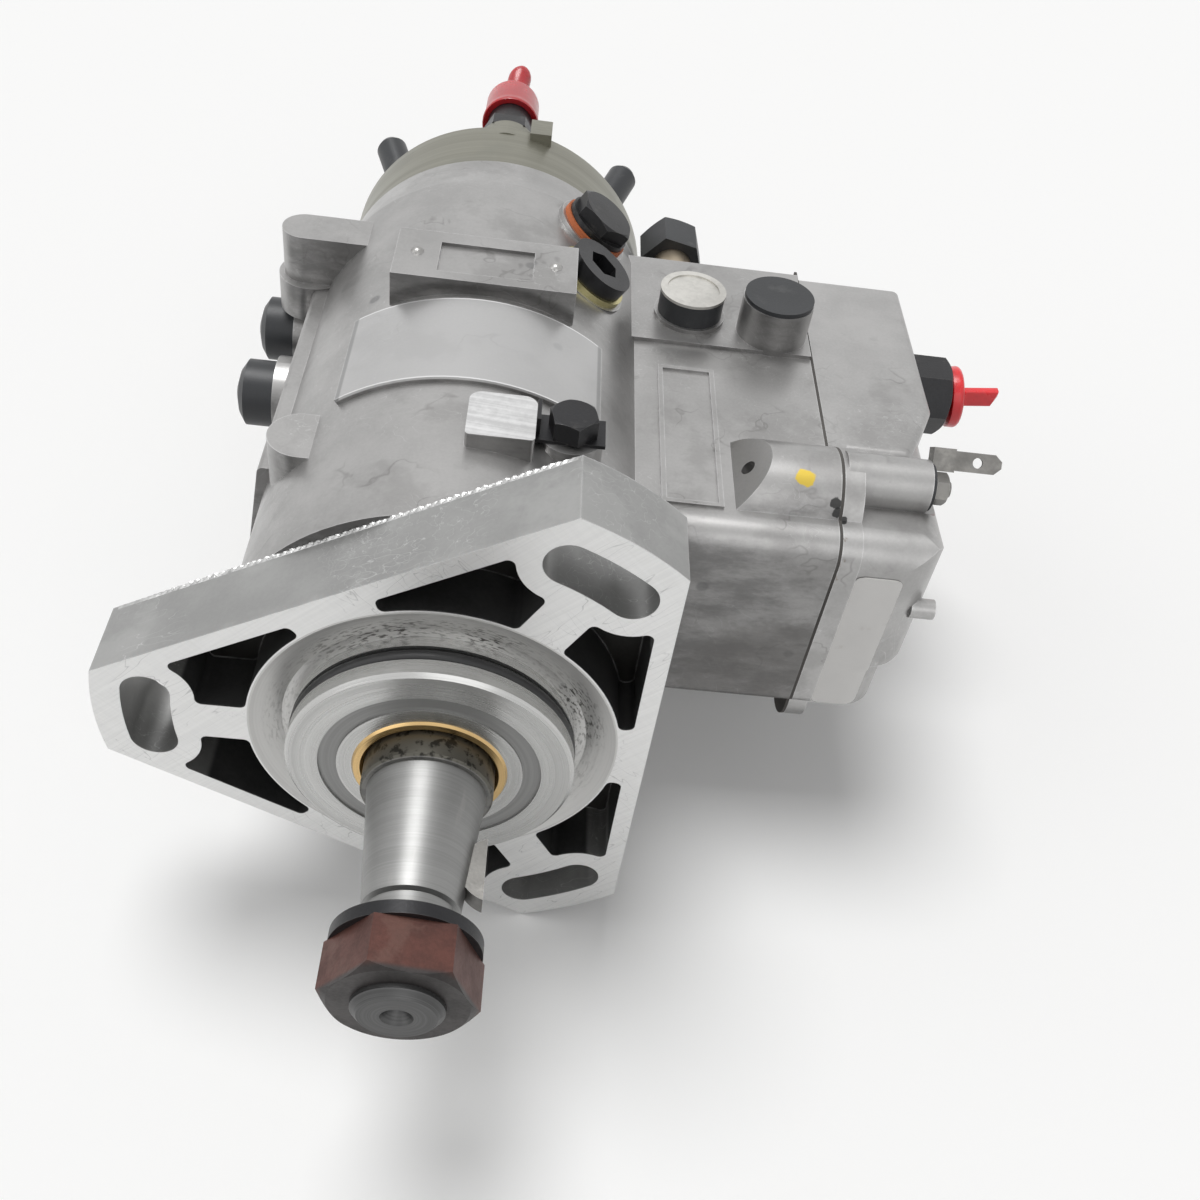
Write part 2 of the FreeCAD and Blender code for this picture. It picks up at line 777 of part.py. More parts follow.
def pump_housing():
    casting = housing_outside()
    cavity = gov_block(gov_floor_x, gov_joint_x + 1, gov_wall)
    cuts = [
        rod_y(tube_r + seat_gap, flange_t - 1, bore_front_y + 1),
        rod_y(bore_r, bore_front_y, head_bore_y),
        rod_y(head_spigot_r + seat_gap, head_bore_y - 1, body_end_y + 1),
        cavity,
        box(25, gov_floor_x + 1, gov_y0 + gov_wall, gov_window_y1, -gov_window_half_z, gov_window_half_z),
        rod_x(meter_bore_r, head_spigot_r - 4, gov_floor_x + 1, meter_y, 0),
        rod_z(throttle_shaft_r + run_gap, -60, -gov_half_z + gov_wall + 2, throttle_x, throttle_y),
        rod_z(sleeve_bore_r(), gov_half_z - gov_wall - 2, 60, throttle_x, throttle_y),
        rod_y(rear_port_r - 1.6 + seat_gap, gov_y1 - 8, gov_y1 + 2, rear_port_x, rear_port_z),
        box(-window_half_x, window_half_x, window_y0, window_y1, -60, -30),
        rod_z(hex_plug_stem_r() + seat_gap, 30, 60, hex_plug_x, hex_plug_y),
    ]
    for y in (socket_plug_y, head_plug_y):
        cuts.append(slope_rod(y, plug_stem_r + seat_gap, plug_hole_floor(), 20))
    for y in (cap_y_front, cap_y_rear):
        cuts.append(rod_x(locating_r + seat_gap, left_boss_x - 1, -bore_r + 5, y, 0))
    for y, z in cover_screw_places():
        cuts.append(rod_x(cover_screw_r + seat_gap, gov_joint_x - cover_screw_depth - 2, gov_joint_x + 1, y, z))
    for x, y in window_screw_places():
        cuts.append(rod_z(window_screw_r + seat_gap, -window_pad_z - 1, -window_pad_z + 8, x, y))
    columns = []
    for y, z in cover_screw_places():
        columns.append(rod_x(cover_column_r, gov_joint_x - 20, gov_joint_x, y, z))
    cuts.append(slope_rod(socket_plug_y, seal_ring_r + free_gap, socket_plug_seat, 10))
    return casting.cut(cuts[:4]).fuse(columns).cut(cuts[4:])


def sleeve_bore_r():
    return throttle_boss_r - 3.0


def hex_plug_stem_r():
    return hex_plug_af * 0.4


def plug_hole_floor():
    return head_spigot_r + 3.6


def cover_screw_places():
    edge = gov_wall + 1.4
    return [(low_lug_y, low_lug_z), (gov_y1 - edge, -gov_half_z + edge), (gov_y1 - edge, gov_half_z - edge)]


def window_screw_places():
    return [(0.0, window_y0 - 3.2), (0.0, window_y1 + 3.2)]


def joint_outline(x, thickness):
    """Outline shared by housing rim, gasket and cover plate, with the terminal's and the screw's lug."""
    plate = gov_block(x, x + thickness)
    return plate.fuse([lug(x, x + thickness), low_lug(x, x + thickness)])


def cover_gasket():
    sheet = joint_outline(gov_joint_x, gasket_t)
    tab = box(gov_joint_x, gov_joint_x + gasket_t, gov_y1 - 2, gov_y1 + 3.2, gov_half_z - 6, gov_half_z - 0.5)
    sheet = sheet.fuse(tab).cut(gov_block(gov_floor_x, gov_joint_x + 2, gov_wall))
    columns = [rod_x(cover_column_r, gov_joint_x, gov_joint_x + gasket_t, y, z) for y, z in cover_screw_places()]
    sheet = sheet.fuse(columns)
    holes = [rod_x(cover_screw_r + free_gap, gov_joint_x - 1, gov_joint_x + gasket_t + 1, y, z)
             for y, z in cover_screw_places()]
    return sheet.cut(holes)


def cover_base_x():
    return gov_joint_x + gasket_t


def plan_prism(corners):
    """Prism through the whole height of the cover from corners given as x, y and a corner radius."""
    outline = [(Vec(x, y, -gov_half_z - 1), radius) for x, y, radius in corners]
    return prism(outline, AXIS_Z * (2 * gov_half_z + 2))


def high_block(inset):
    """Tall rear part of the cover, whose front corner is cut by a slanted face."""
    run, rise = cover_slant_y1 - cover_slant_y0, cover_high_x - cover_slant_x
    slope = math.hypot(run, rise)
    x0, x1, y1 = cover_base_x() + 1, cover_high_x - inset, gov_y1 - inset
    slant_x = cover_slant_x - inset * (slope - rise) / run
    slant_y = cover_slant_y1 + inset * (slope - run) / rise
    plan = plan_prism([(x0, cover_slant_y0 + inset, 0), (slant_x, cover_slant_y0 + inset, 2.0),
                       (x1, slant_y, 3.0), (x1, y1, 3.0), (x0, y1, 0)])
    return plan.common(gov_block(x0, x1, inset))


def low_block(inset):
    """Lower front part over the coil, with a rounded end and a foot that stands further in."""
    x0, y0 = cover_base_x() + 1, gov_y0 + 1 + inset
    blocks = []
    for x_end, radius, z0, z1 in ((cover_low_x, cover_low_edge_r, cover_foot_z, low_top_z),
                                  (cover_foot_x, cover_foot_edge_r, -gov_half_z, cover_foot_z + 1 + 2 * inset)):
        plan = plan_prism([(x0, y0, 0), (x_end - inset, y0, radius - inset), (x_end - inset, cover_low_y1, 0),
                           (x0, cover_low_y1, 0)])
        front_r = low_edge_r - inset if z1 == low_top_z else 0
        side = prism([(Vec(x0, y0, z0 + inset), 0), (Vec(x0, cover_low_y1, z0 + inset), 0),
                      (Vec(x0, cover_low_y1, z1 - inset), 0), (Vec(x0, y0, z1 - inset), front_r)],
                     AXIS_X * (x_end - x0))
        end_r = low_end_r - inset if z1 == low_top_z else 0
        end = prism([(Vec(x0, y0, z0 + inset), 0), (Vec(x_end - inset, y0, z0 + inset), 0),
                     (Vec(x_end - inset, y0, z1 - inset), end_r), (Vec(x0, y0, z1 - inset), 0)],
                    AXIS_Y * (cover_low_y1 - y0))
        blocks.append(plan.common(side).common(end))
    return blocks


def rounded_end(block, x_end):
    """Round the long edges of the far end, as on a die casting."""
    edges = [e for e in block.Edges if all(abs(v.Point.x - x_end) < 0.01 for v in e.Vertexes)
             and abs(e.Vertexes[0].Point.z - e.Vertexes[-1].Point.z) < 0.01]
    return block.makeFillet(cover_end_edge_r, edges)


def governor_cover():
    """Stepped die-cast cover over linkage and shut-off coil, with wells for its screws."""
    plate = joint_outline(cover_base_x(), cover_plate_t)
    high = rounded_end(high_block(0.0), cover_high_x)
    low, foot = low_block(0.0)
    boss = rod_x(terminal_boss_r, cover_base_x() + 1, terminal_end_x, terminal_y, terminal_z)
    nib = rod_x(nib_r, cover_low_x - 5, cover_low_x + 1.2, nib_y, nib_z)
    spot_face = rod_x(terminal_boss_r, terminal_end_x, cover_low_x + 1, terminal_y, terminal_z)
    outside = plate.fuse([high, low, foot, boss, nib]).cut(spot_face)
    hollow = [high_block(cover_wall), *low_block(cover_wall),
              gov_block(cover_base_x() - 1, cover_base_x() + 2, gov_wall + 0.5)]
    columns = [rod_x(cover_screw_head_r + 2.2, cover_base_x(), cover_high_x, y, z)
               for y, z in cover_screw_places()]
    columns = [column.common(outside) for column in columns]
    shape = outside.cut(hollow).fuse(columns)
    cuts = [rod_x(cover_screw_r + seat_gap, 80, 140, y, z) for y, z in cover_screw_places()]
    cuts += [rod_x(cover_screw_head_r + free_gap, cover_base_x() + cover_plate_t, 140, y, z)
             for y, z in cover_screw_places()]
    cuts.append(rod_x(insulator_r() - 2.4 + seat_gap, 80, 140, terminal_y, terminal_z))
    cuts.append(rod_x(return_stem_r + seat_gap, cover_high_x - 8, cover_high_x + 1, return_y, return_z))
    return shape.cut(cuts)


def insulator_r():
    return terminal_boss_r - 0.9


def cover_screws():
    screws = []
    for y, z in cover_screw_places():
        seat = cover_base_x() + cover_plate_t
        stem = rod_x(cover_screw_r, gov_joint_x - cover_screw_depth, seat + 0.5, y, z)
        head = rod_x(cover_screw_head_r, seat, seat + cover_screw_head_h, y, z)
        socket = hexagon(Vec(seat + cover_screw_head_h - 2.6, y, z), AXIS_X, cover_screw_r * 1.6, 4)
        screws.append(stem.fuse(head).cut(socket))
    return screws


def terminal_insulator():
    flange = rod_x(insulator_r(), terminal_end_x, terminal_end_x + insulator_t, terminal_y, terminal_z)
    stem = rod_x(insulator_r() - 2.4, cover_base_x() + 6, terminal_end_x + 0.5, terminal_y, terminal_z)
    return flange.fuse(stem).cut(rod_x(stud_r + seat_gap, 80, 140, terminal_y, terminal_z))


def terminal_stud():
    back = cover_base_x() + 3
    stud = rod_x(stud_r, back, terminal_end_x + insulator_t + blade_sheet + stud_nut_t + stud_end,
                 terminal_y, terminal_z)
    return stud


def terminal_nut():
    base = Vec(terminal_end_x + insulator_t + blade_sheet + 0.02, terminal_y, terminal_z)
    nut = beveled_hexagon(base, AXIS_X, stud_nut_af, stud_nut_t, 0.4)
    return nut.cut(rod_x(stud_r + seat_gap, 80, 140, terminal_y, terminal_z))


def terminal_blade():
    """Folded tab: a ring under the nut runs up to a strip that stands out with a hole near its tip."""
    x = terminal_end_x + insulator_t
    y, z = terminal_y, terminal_z + blade_lift
    y0, y1 = y - blade_sheet / 2, y + blade_sheet / 2
    ring = rod_x(stud_nut_af * 0.56, x, x + blade_sheet, terminal_y, terminal_z)
    half, root_half = blade_w / 2, blade_root_w / 2
    foot = box(x, x + blade_sheet, y0, y + stud_nut_af * 0.5, terminal_z, z + root_half)
    root = box(x, x + blade_root_length, y0, y1, z - root_half, z + root_half)
    tip = x + blade_reach
    strip = prism([(Vec(x, y0, z - half), 0), (Vec(tip - 1.8, y0, z - half), 0), (Vec(tip, y0, z - half + 1.6), 0),
                   (Vec(tip, y0, z + half - 1.6), 0), (Vec(tip - 1.8, y0, z + half), 0), (Vec(x, y0, z + half), 0)],
                  AXIS_Y * blade_sheet)
    hole = rod_y(blade_hole_r, y0 - 1, y1 + 1, x + blade_hole_x, z)
    blade = ring.fuse([foot, root, strip]).cut([hole, rod_x(stud_r + seat_gap, 80, 140, terminal_y, terminal_z)])
    blade.rotate(Vec(0, terminal_y, terminal_z), AXIS_X, blade_turn)
    return blade


def shutoff_coil():
    x = cover_base_x() + 3
    bobbin = rod_x(coil_r, x, x + coil_length, coil_y, 0).cut(rod_x(coil_core_r + seat_gap, 80, 130, coil_y, 0))
    flange = ring_x(coil_r + 0.8, coil_core_r + seat_gap, x - 0.8, x, coil_y, 0)
    core = rod_x(coil_core_r, x - 1.6, cover_low_x - cover_wall, coil_y, 0)
    return Part.makeCompound([bobbin.fuse(flange), core])


def ring_x(outer, inner, x0, x1, y, z):
    return rod_x(outer, x0, x1, y, z).cut(rod_x(inner, x0 - 1, x1 + 1, y, z))


def shutoff_armature():
    """Hinged flap under the coil that pushes the metering linkage shut."""
    x = armature_x
    flap = box(x, x + armature_t, armature_pin_y + 3.4, coil_y + coil_r, -8, 8)
    knuckle = ring_z(3.4, armature_pin_r + run_gap, -8, 8, x + armature_t / 2, armature_pin_y)
    web = box(x, x + armature_t, armature_pin_y + 2.2, armature_pin_y + 4, -8, 8)
    return knuckle.fuse([flap, web.cut(rod_z(3.0, -9, 9, x + armature_t / 2, armature_pin_y))])


def ring_z(outer, inner, z0, z1, x, y):
    return rod_z(outer, z0, z1, x, y).cut(rod_z(inner, z0 - 1, z1 + 1, x, y))


def hinge_pins():
    """Cross pins of the shut-off flap and of the governor arm."""
    flap = rod_z(armature_pin_r, -gov_half_z + gov_wall, gov_half_z - gov_wall,
                 armature_x + armature_t / 2, armature_pin_y)
    arm = rod_z(arm_pin_r, -gov_window_half_z, gov_window_half_z, arm_pivot_x, arm_y + arm_t / 2)
    return Part.makeCompound([flap, arm])


def return_connector():
    """Hexagonal return outlet with a stem in the cover and a bore for the leak-off line."""
    base = Vec(cover_high_x, return_y, return_z)
    bar = beveled_hexagon(base, AXIS_X, return_af, return_length, 0.8)
    stem = rod_x(return_stem_r, cover_high_x - cover_wall, cover_high_x + 1, return_y, return_z)
    bore = rod_x(return_bore_r, cover_high_x + 4, cover_high_x + return_length + 1, return_y, return_z)
    return bar.fuse(stem).cut([bore, rod_x(1.5, 100, 140, return_y, return_z)])


def return_plug():
    """Shipping plug with a round flange and a flat finger grip whose end is slanted."""
    x = cover_high_x + return_length
    stem = rod_x(return_bore_r - 0.1, x - 6, x + 0.5, return_y, return_z)
    disc = rod_x(return_disc_r, x + seat_gap, x + return_disc_t, return_y, return_z)
    root, tip, side = x + return_disc_t - 0.5, x + return_disc_t + return_grip_length, return_y - 1.4
    middle = return_z + return_grip_rise
    low, high = middle - return_grip_half, middle + return_grip_half
    grip = prism([(Vec(root, side, low), 0), (Vec(tip - 1.6, side, low), 0), (Vec(tip, side, high), 0),
                  (Vec(root, side, high), 0)], AXIS_Y * 2.8)
    grip.rotate(Vec(0, return_y, return_z), AXIS_X, -45)
    return stem.fuse([disc, grip])


def rear_port_fitting():
    seat = gov_y1 + 1.5
    body = rod_y(rear_port_r, seat, seat + rear_port_length, rear_port_x, rear_port_z)
    stem = rod_y(rear_port_r - 1.6, seat - 7, seat + 1, rear_port_x, rear_port_z)
    return body.fuse(stem)


def rear_port_cap():
    """Black hexagonal cap over the tan fitting."""
    y = gov_y1 + 1.5 + rear_port_length * 0.62
    bar = beveled_hexagon(Vec(rear_port_x, y, rear_port_z), AXIS_Y, rear_cap_af, rear_cap_length, 0.8, 12)
    pocket_y = gov_y1 + 1.5 + rear_port_length + 0.1
    return bar.cut(rod_y(rear_port_r + seat_gap, y - 1, pocket_y, rear_port_x, rear_port_z))


def throttle_shaft():
    low = -gov_half_z - 6 - lever_t - 8
    shaft = rod_z(throttle_shaft_r, low, gov_half_z - gov_wall - 0.6, throttle_x, throttle_y)
    flat = box(throttle_x - 10, throttle_x - throttle_shaft_r + 1.0, throttle_y - 10, throttle_y + 10,
               low - 1, -gov_half_z - 6 - 0.3)
    return shaft.cut(flat)


def throttle_lever():
    """External lever with hub, tapering arm, cable pin hole and a stop tongue."""
    top = -gov_half_z - 6 - free_gap
    centre = Vec(throttle_x, throttle_y, top - lever_t)
    reach = Vec(lever_length * math.cos(math.radians(lever_angle)),
                lever_length * math.sin(math.radians(lever_angle)), 0)
    hub = Part.makeCylinder(lever_hub_r, lever_t, centre, AXIS_Z)
    eye = Part.makeCylinder(lever_end_r, lever_t, centre + reach, AXIS_Z)
    across = reach.cross(AXIS_Z).normalize()
    corners = [(centre + across * lever_hub_r * 0.95, 0), (centre - across * lever_hub_r * 0.95, 0),
               (centre + reach - across * lever_end_r * 0.95, 0), (centre + reach + across * lever_end_r * 0.95, 0)]
    arm = prism(corners, AXIS_Z * lever_t)
    tongue = box(throttle_x - lever_hub_r - 5, throttle_x, throttle_y - 3, throttle_y + 3, top - lever_t, top)
    lever = hub.fuse([eye, arm, tongue])
    shaft = throttle_shaft_blank()
    return lever.cut([shaft, Part.makeCylinder(3.0, 3 * lever_t, centre + reach - AXIS_Z * lever_t, AXIS_Z)])


def throttle_shaft_blank():
    low = -gov_half_z - 60
    shaft = rod_z(throttle_shaft_r + seat_gap, low, -gov_half_z, throttle_x, throttle_y)
    flat = box(throttle_x - 10, throttle_x - throttle_shaft_r + 1.0 - seat_gap, throttle_y - 10, throttle_y + 10,
               low - 1, 0)
    return shaft.cut(flat)


def throttle_nut():
    top = -gov_half_z - 6 - free_gap - lever_t
    nut = beveled_hexagon(Vec(throttle_x, throttle_y, top - seat_gap), -AXIS_Z, 13.0, 5.0, 0.5)
    return nut.cut(throttle_shaft_blank())


def bore_sleeve():
    """Black sleeve over the far end of the throttle bore."""
    seat = gov_half_z + step_rise + 1.2
    return ring_z(throttle_boss_r - 0.2, sleeve_bore_r() - 0.6, seat, throttle_boss_top - 0.8, throttle_x, throttle_y)


def bore_cup():
    """Bright cup that closes the sleeve: a raised rim round a sunk disc."""
    top = throttle_boss_top
    rim = rod_z(throttle_boss_r, top - 0.8, top, throttle_x, throttle_y)
    plug = rod_z(sleeve_bore_r() - 0.6 - seat_gap, top - 4, top - 0.4, throttle_x, throttle_y)
    sunk = rod_z(throttle_boss_r - 1.9, top - 0.4, top + 1, throttle_x, throttle_y)
    return rim.cut(sunk).fuse(plug)


def second_cap():
    return rod_z(second_boss_r - 0.3, second_boss_top, second_boss_top + 1.2, second_x, second_y)


def nameplate_rivets():
    rivets = []
    for side in (-1, 1):
        x = side * rivet_x
        stem = rod_z(rivet_r * 0.6, plate_pad_top - 3, plate_pad_top + 0.2, x, rivet_y)
        head = Part.makeSphere(rivet_r * 1.15, Vec(x, rivet_y, plate_pad_top - rivet_r * 0.55))
        head = head.common(rod_z(rivet_r, plate_pad_top, plate_pad_top + 3, x, rivet_y))
        rivets.append(stem.fuse(head))
    return Part.makeCompound(rivets)


def front_hex_plug():
    seat = hex_plug_seat_z + lock_plate_t
    stem = rod_z(hex_plug_stem_r(), seat - 6, seat + 1, hex_plug_x, hex_plug_y)
    head = beveled_hexagon(Vec(hex_plug_x, hex_plug_y, seat), AXIS_Z, hex_plug_af,
                           hex_plug_top_z - seat, 0.5, 12)
    return stem.fuse(head)


def lock_plate():
    """Sheet-metal lock under the plug, one ear bent up beside a flat."""
    z = hex_plug_seat_z
    x0, x1 = hex_plug_x - 8.2, hex_plug_x + 7.4
    sheet = box(x0, x1, hex_plug_y - 4.2, hex_plug_y + 5.0, z, z + lock_plate_t)
    ear = box(x0, x0 + lock_plate_t, hex_plug_y - 2.4, hex_plug_y + 5.0, z, hex_plug_top_z - 0.6)
    return sheet.fuse(ear).cut(rod_z(hex_plug_stem_r() + 0.3, z - 1, z + 3, hex_plug_x, hex_plug_y))


def slope_point(y, distance):
    return polar(side_plug_angle, distance) + Vec(0, y, 0)


def slope_rod(y, radius, start, length):
    return Part.makeCylinder(radius, length, slope_point(y, start), polar(side_plug_angle, 1))


def socket_plug():
    """Black screw plug with a round head and an internal hexagon."""
    seat = socket_plug_seat + seal_t
    head = slope_rod(socket_plug_y, socket_plug_r, seat, 4.2)
    stem = slope_rod(socket_plug_y, plug_stem_r, plug_hole_floor() + 2, seat - plug_hole_floor() - 1)
    socket = hexagon(slope_point(socket_plug_y, seat + 0.6), polar(side_plug_angle, 1), 8.0, 10)
    return head.fuse(stem).cut(socket)


def seal_washer(y, seat):
    return slope_rod(y, seal_ring_r, seat, seal_t - seat_gap).cut(
        slope_rod(y, plug_stem_r + free_gap, seat - 1, seal_t + 2))


def head_plug():
    """Black hexagon-head plug with a round flange over an orange seal."""
    seat = head_plug_seat + seal_t
    flange = slope_rod(head_plug_y, seal_ring_r - 0.6, seat, 1.6)
    stem = slope_rod(head_plug_y, plug_stem_r, plug_hole_floor() + 2, seat - plug_hole_floor() - 1)
    head = beveled_hexagon(slope_point(head_plug_y, seat + 1.2), polar(side_plug_angle, 1), head_plug_af,
                           head_plug_h, 0.5)
    return flange.fuse([stem, head])


def locating_screws():
    """Screws that hold cam ring and hydraulic head, under the two side caps."""
    screws = []
    for y, tip_x in ((cap_y_front, -bore_r + 4), (cap_y_rear, -head_spigot_r + 3.5)):
        stem = rod_x(locating_r, left_boss_x - 0.5, tip_x, y, 0)
        head = hexagon(Vec(left_boss_x, y, 0), -AXIS_X, 10.0, 4.5)
        screws.append(stem.fuse(head))
    return Part.makeCompound(screws)


def side_caps():
    caps = []
    for y in (cap_y_front, cap_y_rear):
        length = left_boss_x - cap_end_x
        cap = ball_end(Vec(left_boss_x - seat_gap, y, 0), -AXIS_X, cap_r, length - seat_gap, 0.3)
        caps.append(cap.cut(rod(Vec(left_boss_x + 1, y, 0), -AXIS_X, cap_r - 2.0, length - 3)))
    return Part.makeCompound(caps)


def window_cover():
    z = -window_pad_z
    plate = prism([(Vec(-window_half_x - 5, window_y0 - 6, z), 4), (Vec(window_half_x + 5, window_y0 - 6, z), 4),
                   (Vec(window_half_x + 5, window_y1 + 6, z), 4), (Vec(-window_half_x - 5, window_y1 + 6, z), 4)],
                  -AXIS_Z * 2.4)
    holes = [rod_z(window_screw_r + 0.2, z - 10, z + 10, x, y) for x, y in window_screw_places()]
    return plate.cut(holes)


def window_screws():
    z = -window_pad_z - 2.4
    screws = []
    for x, y in window_screw_places():
        head = rod_z(3.6, z - 2.6, z, x, y)
        slot = box(x - 4, x + 4, y - 0.5, y + 0.5, z - 3, z - 1.4)
        screws.append(head.cut(slot).fuse(rod_z(window_screw_r, z - 0.5, z + 9, x, y)))
    return Part.makeCompound(screws)


def outlet_axis(angle):
    lean = math.radians(outlet_lean)
    return polar(angle, math.sin(lean)) + Vec(0, math.cos(lean), 0)


def outlet_point(angle, distance):
    return polar(angle, outlet_base_r) + Vec(0, head_y1, 0) + outlet_axis(angle) * distance


def outlet_rod(angle, radius, start, end):
    return Part.makeCylinder(radius, end - start, outlet_point(angle, start), outlet_axis(angle))


def hydraulic_head():
    """Steel distributor head: spigot in the housing, outer ring, outlet bosses and pump recess."""
    profile = [(0, head_bore_y + free_gap), (head_spigot_r - 1.5, head_bore_y + free_gap),
               (head_spigot_r, head_bore_y + 2), (head_spigot_r, seal_groove_y),
               (head_spigot_r - 2.6, seal_groove_y), (head_spigot_r - 2.6, seal_groove_y + 3.6),
               (head_spigot_r, seal_groove_y + 3.6), (head_spigot_r, head_y0), (head_r - 0.8, head_y0),
               (head_r, head_y0 + 0.8), (head_r, head_y1 - head_edge), (head_r - head_edge, head_y1), (0, head_y1)]
    head = turned(profile)
    bosses = [outlet_rod(angle, outlet_boss_r, -9, outlet_seat) for angle in outlet_angles]
    bosses.append(rod_y(inlet_boss_r, head_y1 - 6, head_y1 + 2.5, 0, inlet_z))
    bosses.append(box(7.0, 13.5, head_y1 - 7, head_y1 + 2.4, inlet_z - 4, head_r + 1.6))
    head = head.fuse(bosses)
    cuts = [rod_y(rotor_r + run_gap, 100, 220), rod_y(liner_r + seat_gap, head_y1 - liner_t, 230),
            rod_x(meter_r + run_gap, rotor_r + 3, 60, meter_y, 0),
            rod_x(locating_r + seat_gap, left_boss_x, -head_spigot_r + 4, cap_y_rear, 0),
            rod_y(inlet_r - 2.2 + seat_gap, head_y1 - 6, head_y1 + 4, 0, inlet_z)]
    cuts += [outlet_rod(angle, outlet_r + seat_gap, -6, outlet_seat + 1) for angle in outlet_angles]
    cuts += [rod_y(end_screw_r() + seat_gap, head_y1 - 10, head_y1 + 1, p.x, p.z) for p in end_screw_places()]
    return head.cut(cuts)


def end_screw_r():
    return 2.0


def end_screw_places():
    return [polar(angle, liner_r + end_screw_margin) for angle in end_screw_angles]


def discharge_fittings():
    """Outlet unions screwed into the head: hexagon, shank and line bore."""
    unions = []
    for angle in outlet_angles:
        shank = outlet_rod(angle, outlet_r, -5, 24)
        hexagon_part = hexagon(outlet_point(angle, outlet_seat), outlet_axis(angle), 12.5, outlet_hex_h)
        bore = outlet_rod(angle, 1.1, -6, 25)
        unions.append(shank.fuse(hexagon_part).cut(bore))
    return Part.makeCompound(unions)


def discharge_caps():
    caps = []
    start = outlet_seat + outlet_hex_h + 0.1
    for angle in outlet_angles:
        cap = ball_end(outlet_point(angle, start), outlet_axis(angle), outlet_cap_r, outlet_tip - start, 0.7)
        caps.append(cap.cut(outlet_rod(angle, outlet_r + seat_gap, start - 1, 25)))
    return Part.makeCompound(caps)


def inlet_fitting():
    seat = head_y1 + 2.5
    body = rod_y(inlet_r, seat, seat + inlet_length, 0, inlet_z)
    collar = hexagon(Vec(0, seat, inlet_z), AXIS_Y, 17.0, 6.0)
    stem = rod_y(inlet_r - 2.2, seat - 7, seat + 1, 0, inlet_z)
    return body.fuse([collar, stem]).cut(rod_y(inlet_r - 3.6, seat - 8, seat + inlet_length + 1, 0, inlet_z))


def inlet_plug():
    """Red shipping cap with a skirt over the fitting and a pull tip."""
    y = head_y1 + 2.5 + inlet_length - 4
    skirt = ring_y(inlet_plug_r, inlet_r + seat_gap, y, y + 4.2, 0, inlet_z)
    crown = rod_y(inlet_plug_r, y + 4.1, y + 15, 0, inlet_z)
    tip = rod_y(3.6, y + 14, y + 26, 0, inlet_z)
    return skirt.fuse([crown, tip])


def pump_liner():
    return rod_y(liner_r, head_y1 - liner_t + 0.1, head_y1 - 0.1).cut(
        rod_y(liner_bore_r, head_y1 - 20, head_y1 + 5, liner_offset, 0))


def end_plate():
    """Transfer pump cover with four screws and the regulator plug in its middle."""
    plate = turned([(0, head_y1 + seat_gap), (end_plate_outer(), head_y1 + seat_gap),
                    (end_plate_outer(), head_y1 + end_plate_t - 1), (end_plate_outer() - 1, head_y1 + end_plate_t),
                    (13, head_y1 + end_plate_t), (12, head_y1 + end_plate_t + 5), (0, head_y1 + end_plate_t + 5)])
    clear = [rod_y(inlet_boss_r + 1.2, head_y1 - 1, head_y1 + 30, 0, inlet_z)]
    clear += [outlet_rod(angle, outlet_boss_r + 0.6, -9, 20) for angle in outlet_angles]
    clear += [rod_y(end_screw_r() + seat_gap, head_y1 - 1, head_y1 + 30, p.x, p.z) for p in end_screw_places()]
    clear.append(rod_y(regulator_r + seat_gap, head_y1 + 4, head_y1 + 30))
    return plate.cut(clear)


def end_plate_outer():
    return liner_r + 8.5


def socket_screws():
    """All socket-head screws: four in the cover's wells, four in the end plate."""
    screws = cover_screws()
    seat = head_y1 + end_plate_t
    for p in end_screw_places():
        stem = rod_y(end_screw_r(), seat - 15, seat + 0.5, p.x, p.z)
        head = rod_y(3.5, seat + seat_gap, seat + 4, p.x, p.z)
        socket = hexagon(Vec(p.x, seat + 1.8, p.z), AXIS_Y, 3.0, 4)
        screws.append(stem.fuse(head).cut(socket))
    return Part.makeCompound(screws)


def regulator_plug():
    seat = head_y1 + end_plate_t + 5
    stem = rod_y(regulator_r, head_y1 + 4.4, seat + 1)
    head = beveled_hexagon(Vec(0, seat + seat_gap, 0), AXIS_Y, 17.0, 6.0, 0.6)
    return stem.fuse(head)


def distributor_rotor():
    """Rotor with the pumping head in front and the transfer pump slots behind."""
    start = shaft_back_y + 0.1
    body = rod_y(rotor_r, start + 1, head_y1 - 0.4)
    slot = box(-shaft_body_r - 1, shaft_body_r + 1, start - 1, shaft_back_y + tang_length + 0.2,
               -tang_half_width - seat_gap, tang_half_width + seat_gap)
    front = rod_y(rotor_r + 3, start, cam_y1)
    body = body.fuse(front).cut(slot)
    middle = (cam_y0 + cam_y1) / 2 + 2
    cuts = [rod(Vec(0, middle, 0), polar(90 * i + 45, 1), plunger_r + run_gap, 30) for i in range(roller_count)]
    for i in range(4):
        blade = box(3, 20, head_y1 - liner_t - 0.2, head_y1 + 1, -blade_t / 2 - seat_gap, blade_t / 2 + seat_gap)
        cuts.append(turn_y(blade, 90 * i))
    return body.cut(cuts)


def transfer_blades():
    blades = []
    for i in range(4):
        blade = box(4, rotor_r - 0.1, head_y1 - liner_t + 0.2, head_y1 - 0.5, -blade_t / 2, blade_t / 2)
        blades.append(turn_y(blade, 90 * i))
    return blades


def pump_plungers():
    middle = (cam_y0 + cam_y1) / 2 + 2
    plungers = []
    for i in range(roller_count):
        out = polar(90 * i + 45, 1)
        plungers.append(rod(out * 4.5 + Vec(0, middle, 0), out, plunger_r, rotor_r + 3 - 4.5 - 1.0))
    return plungers


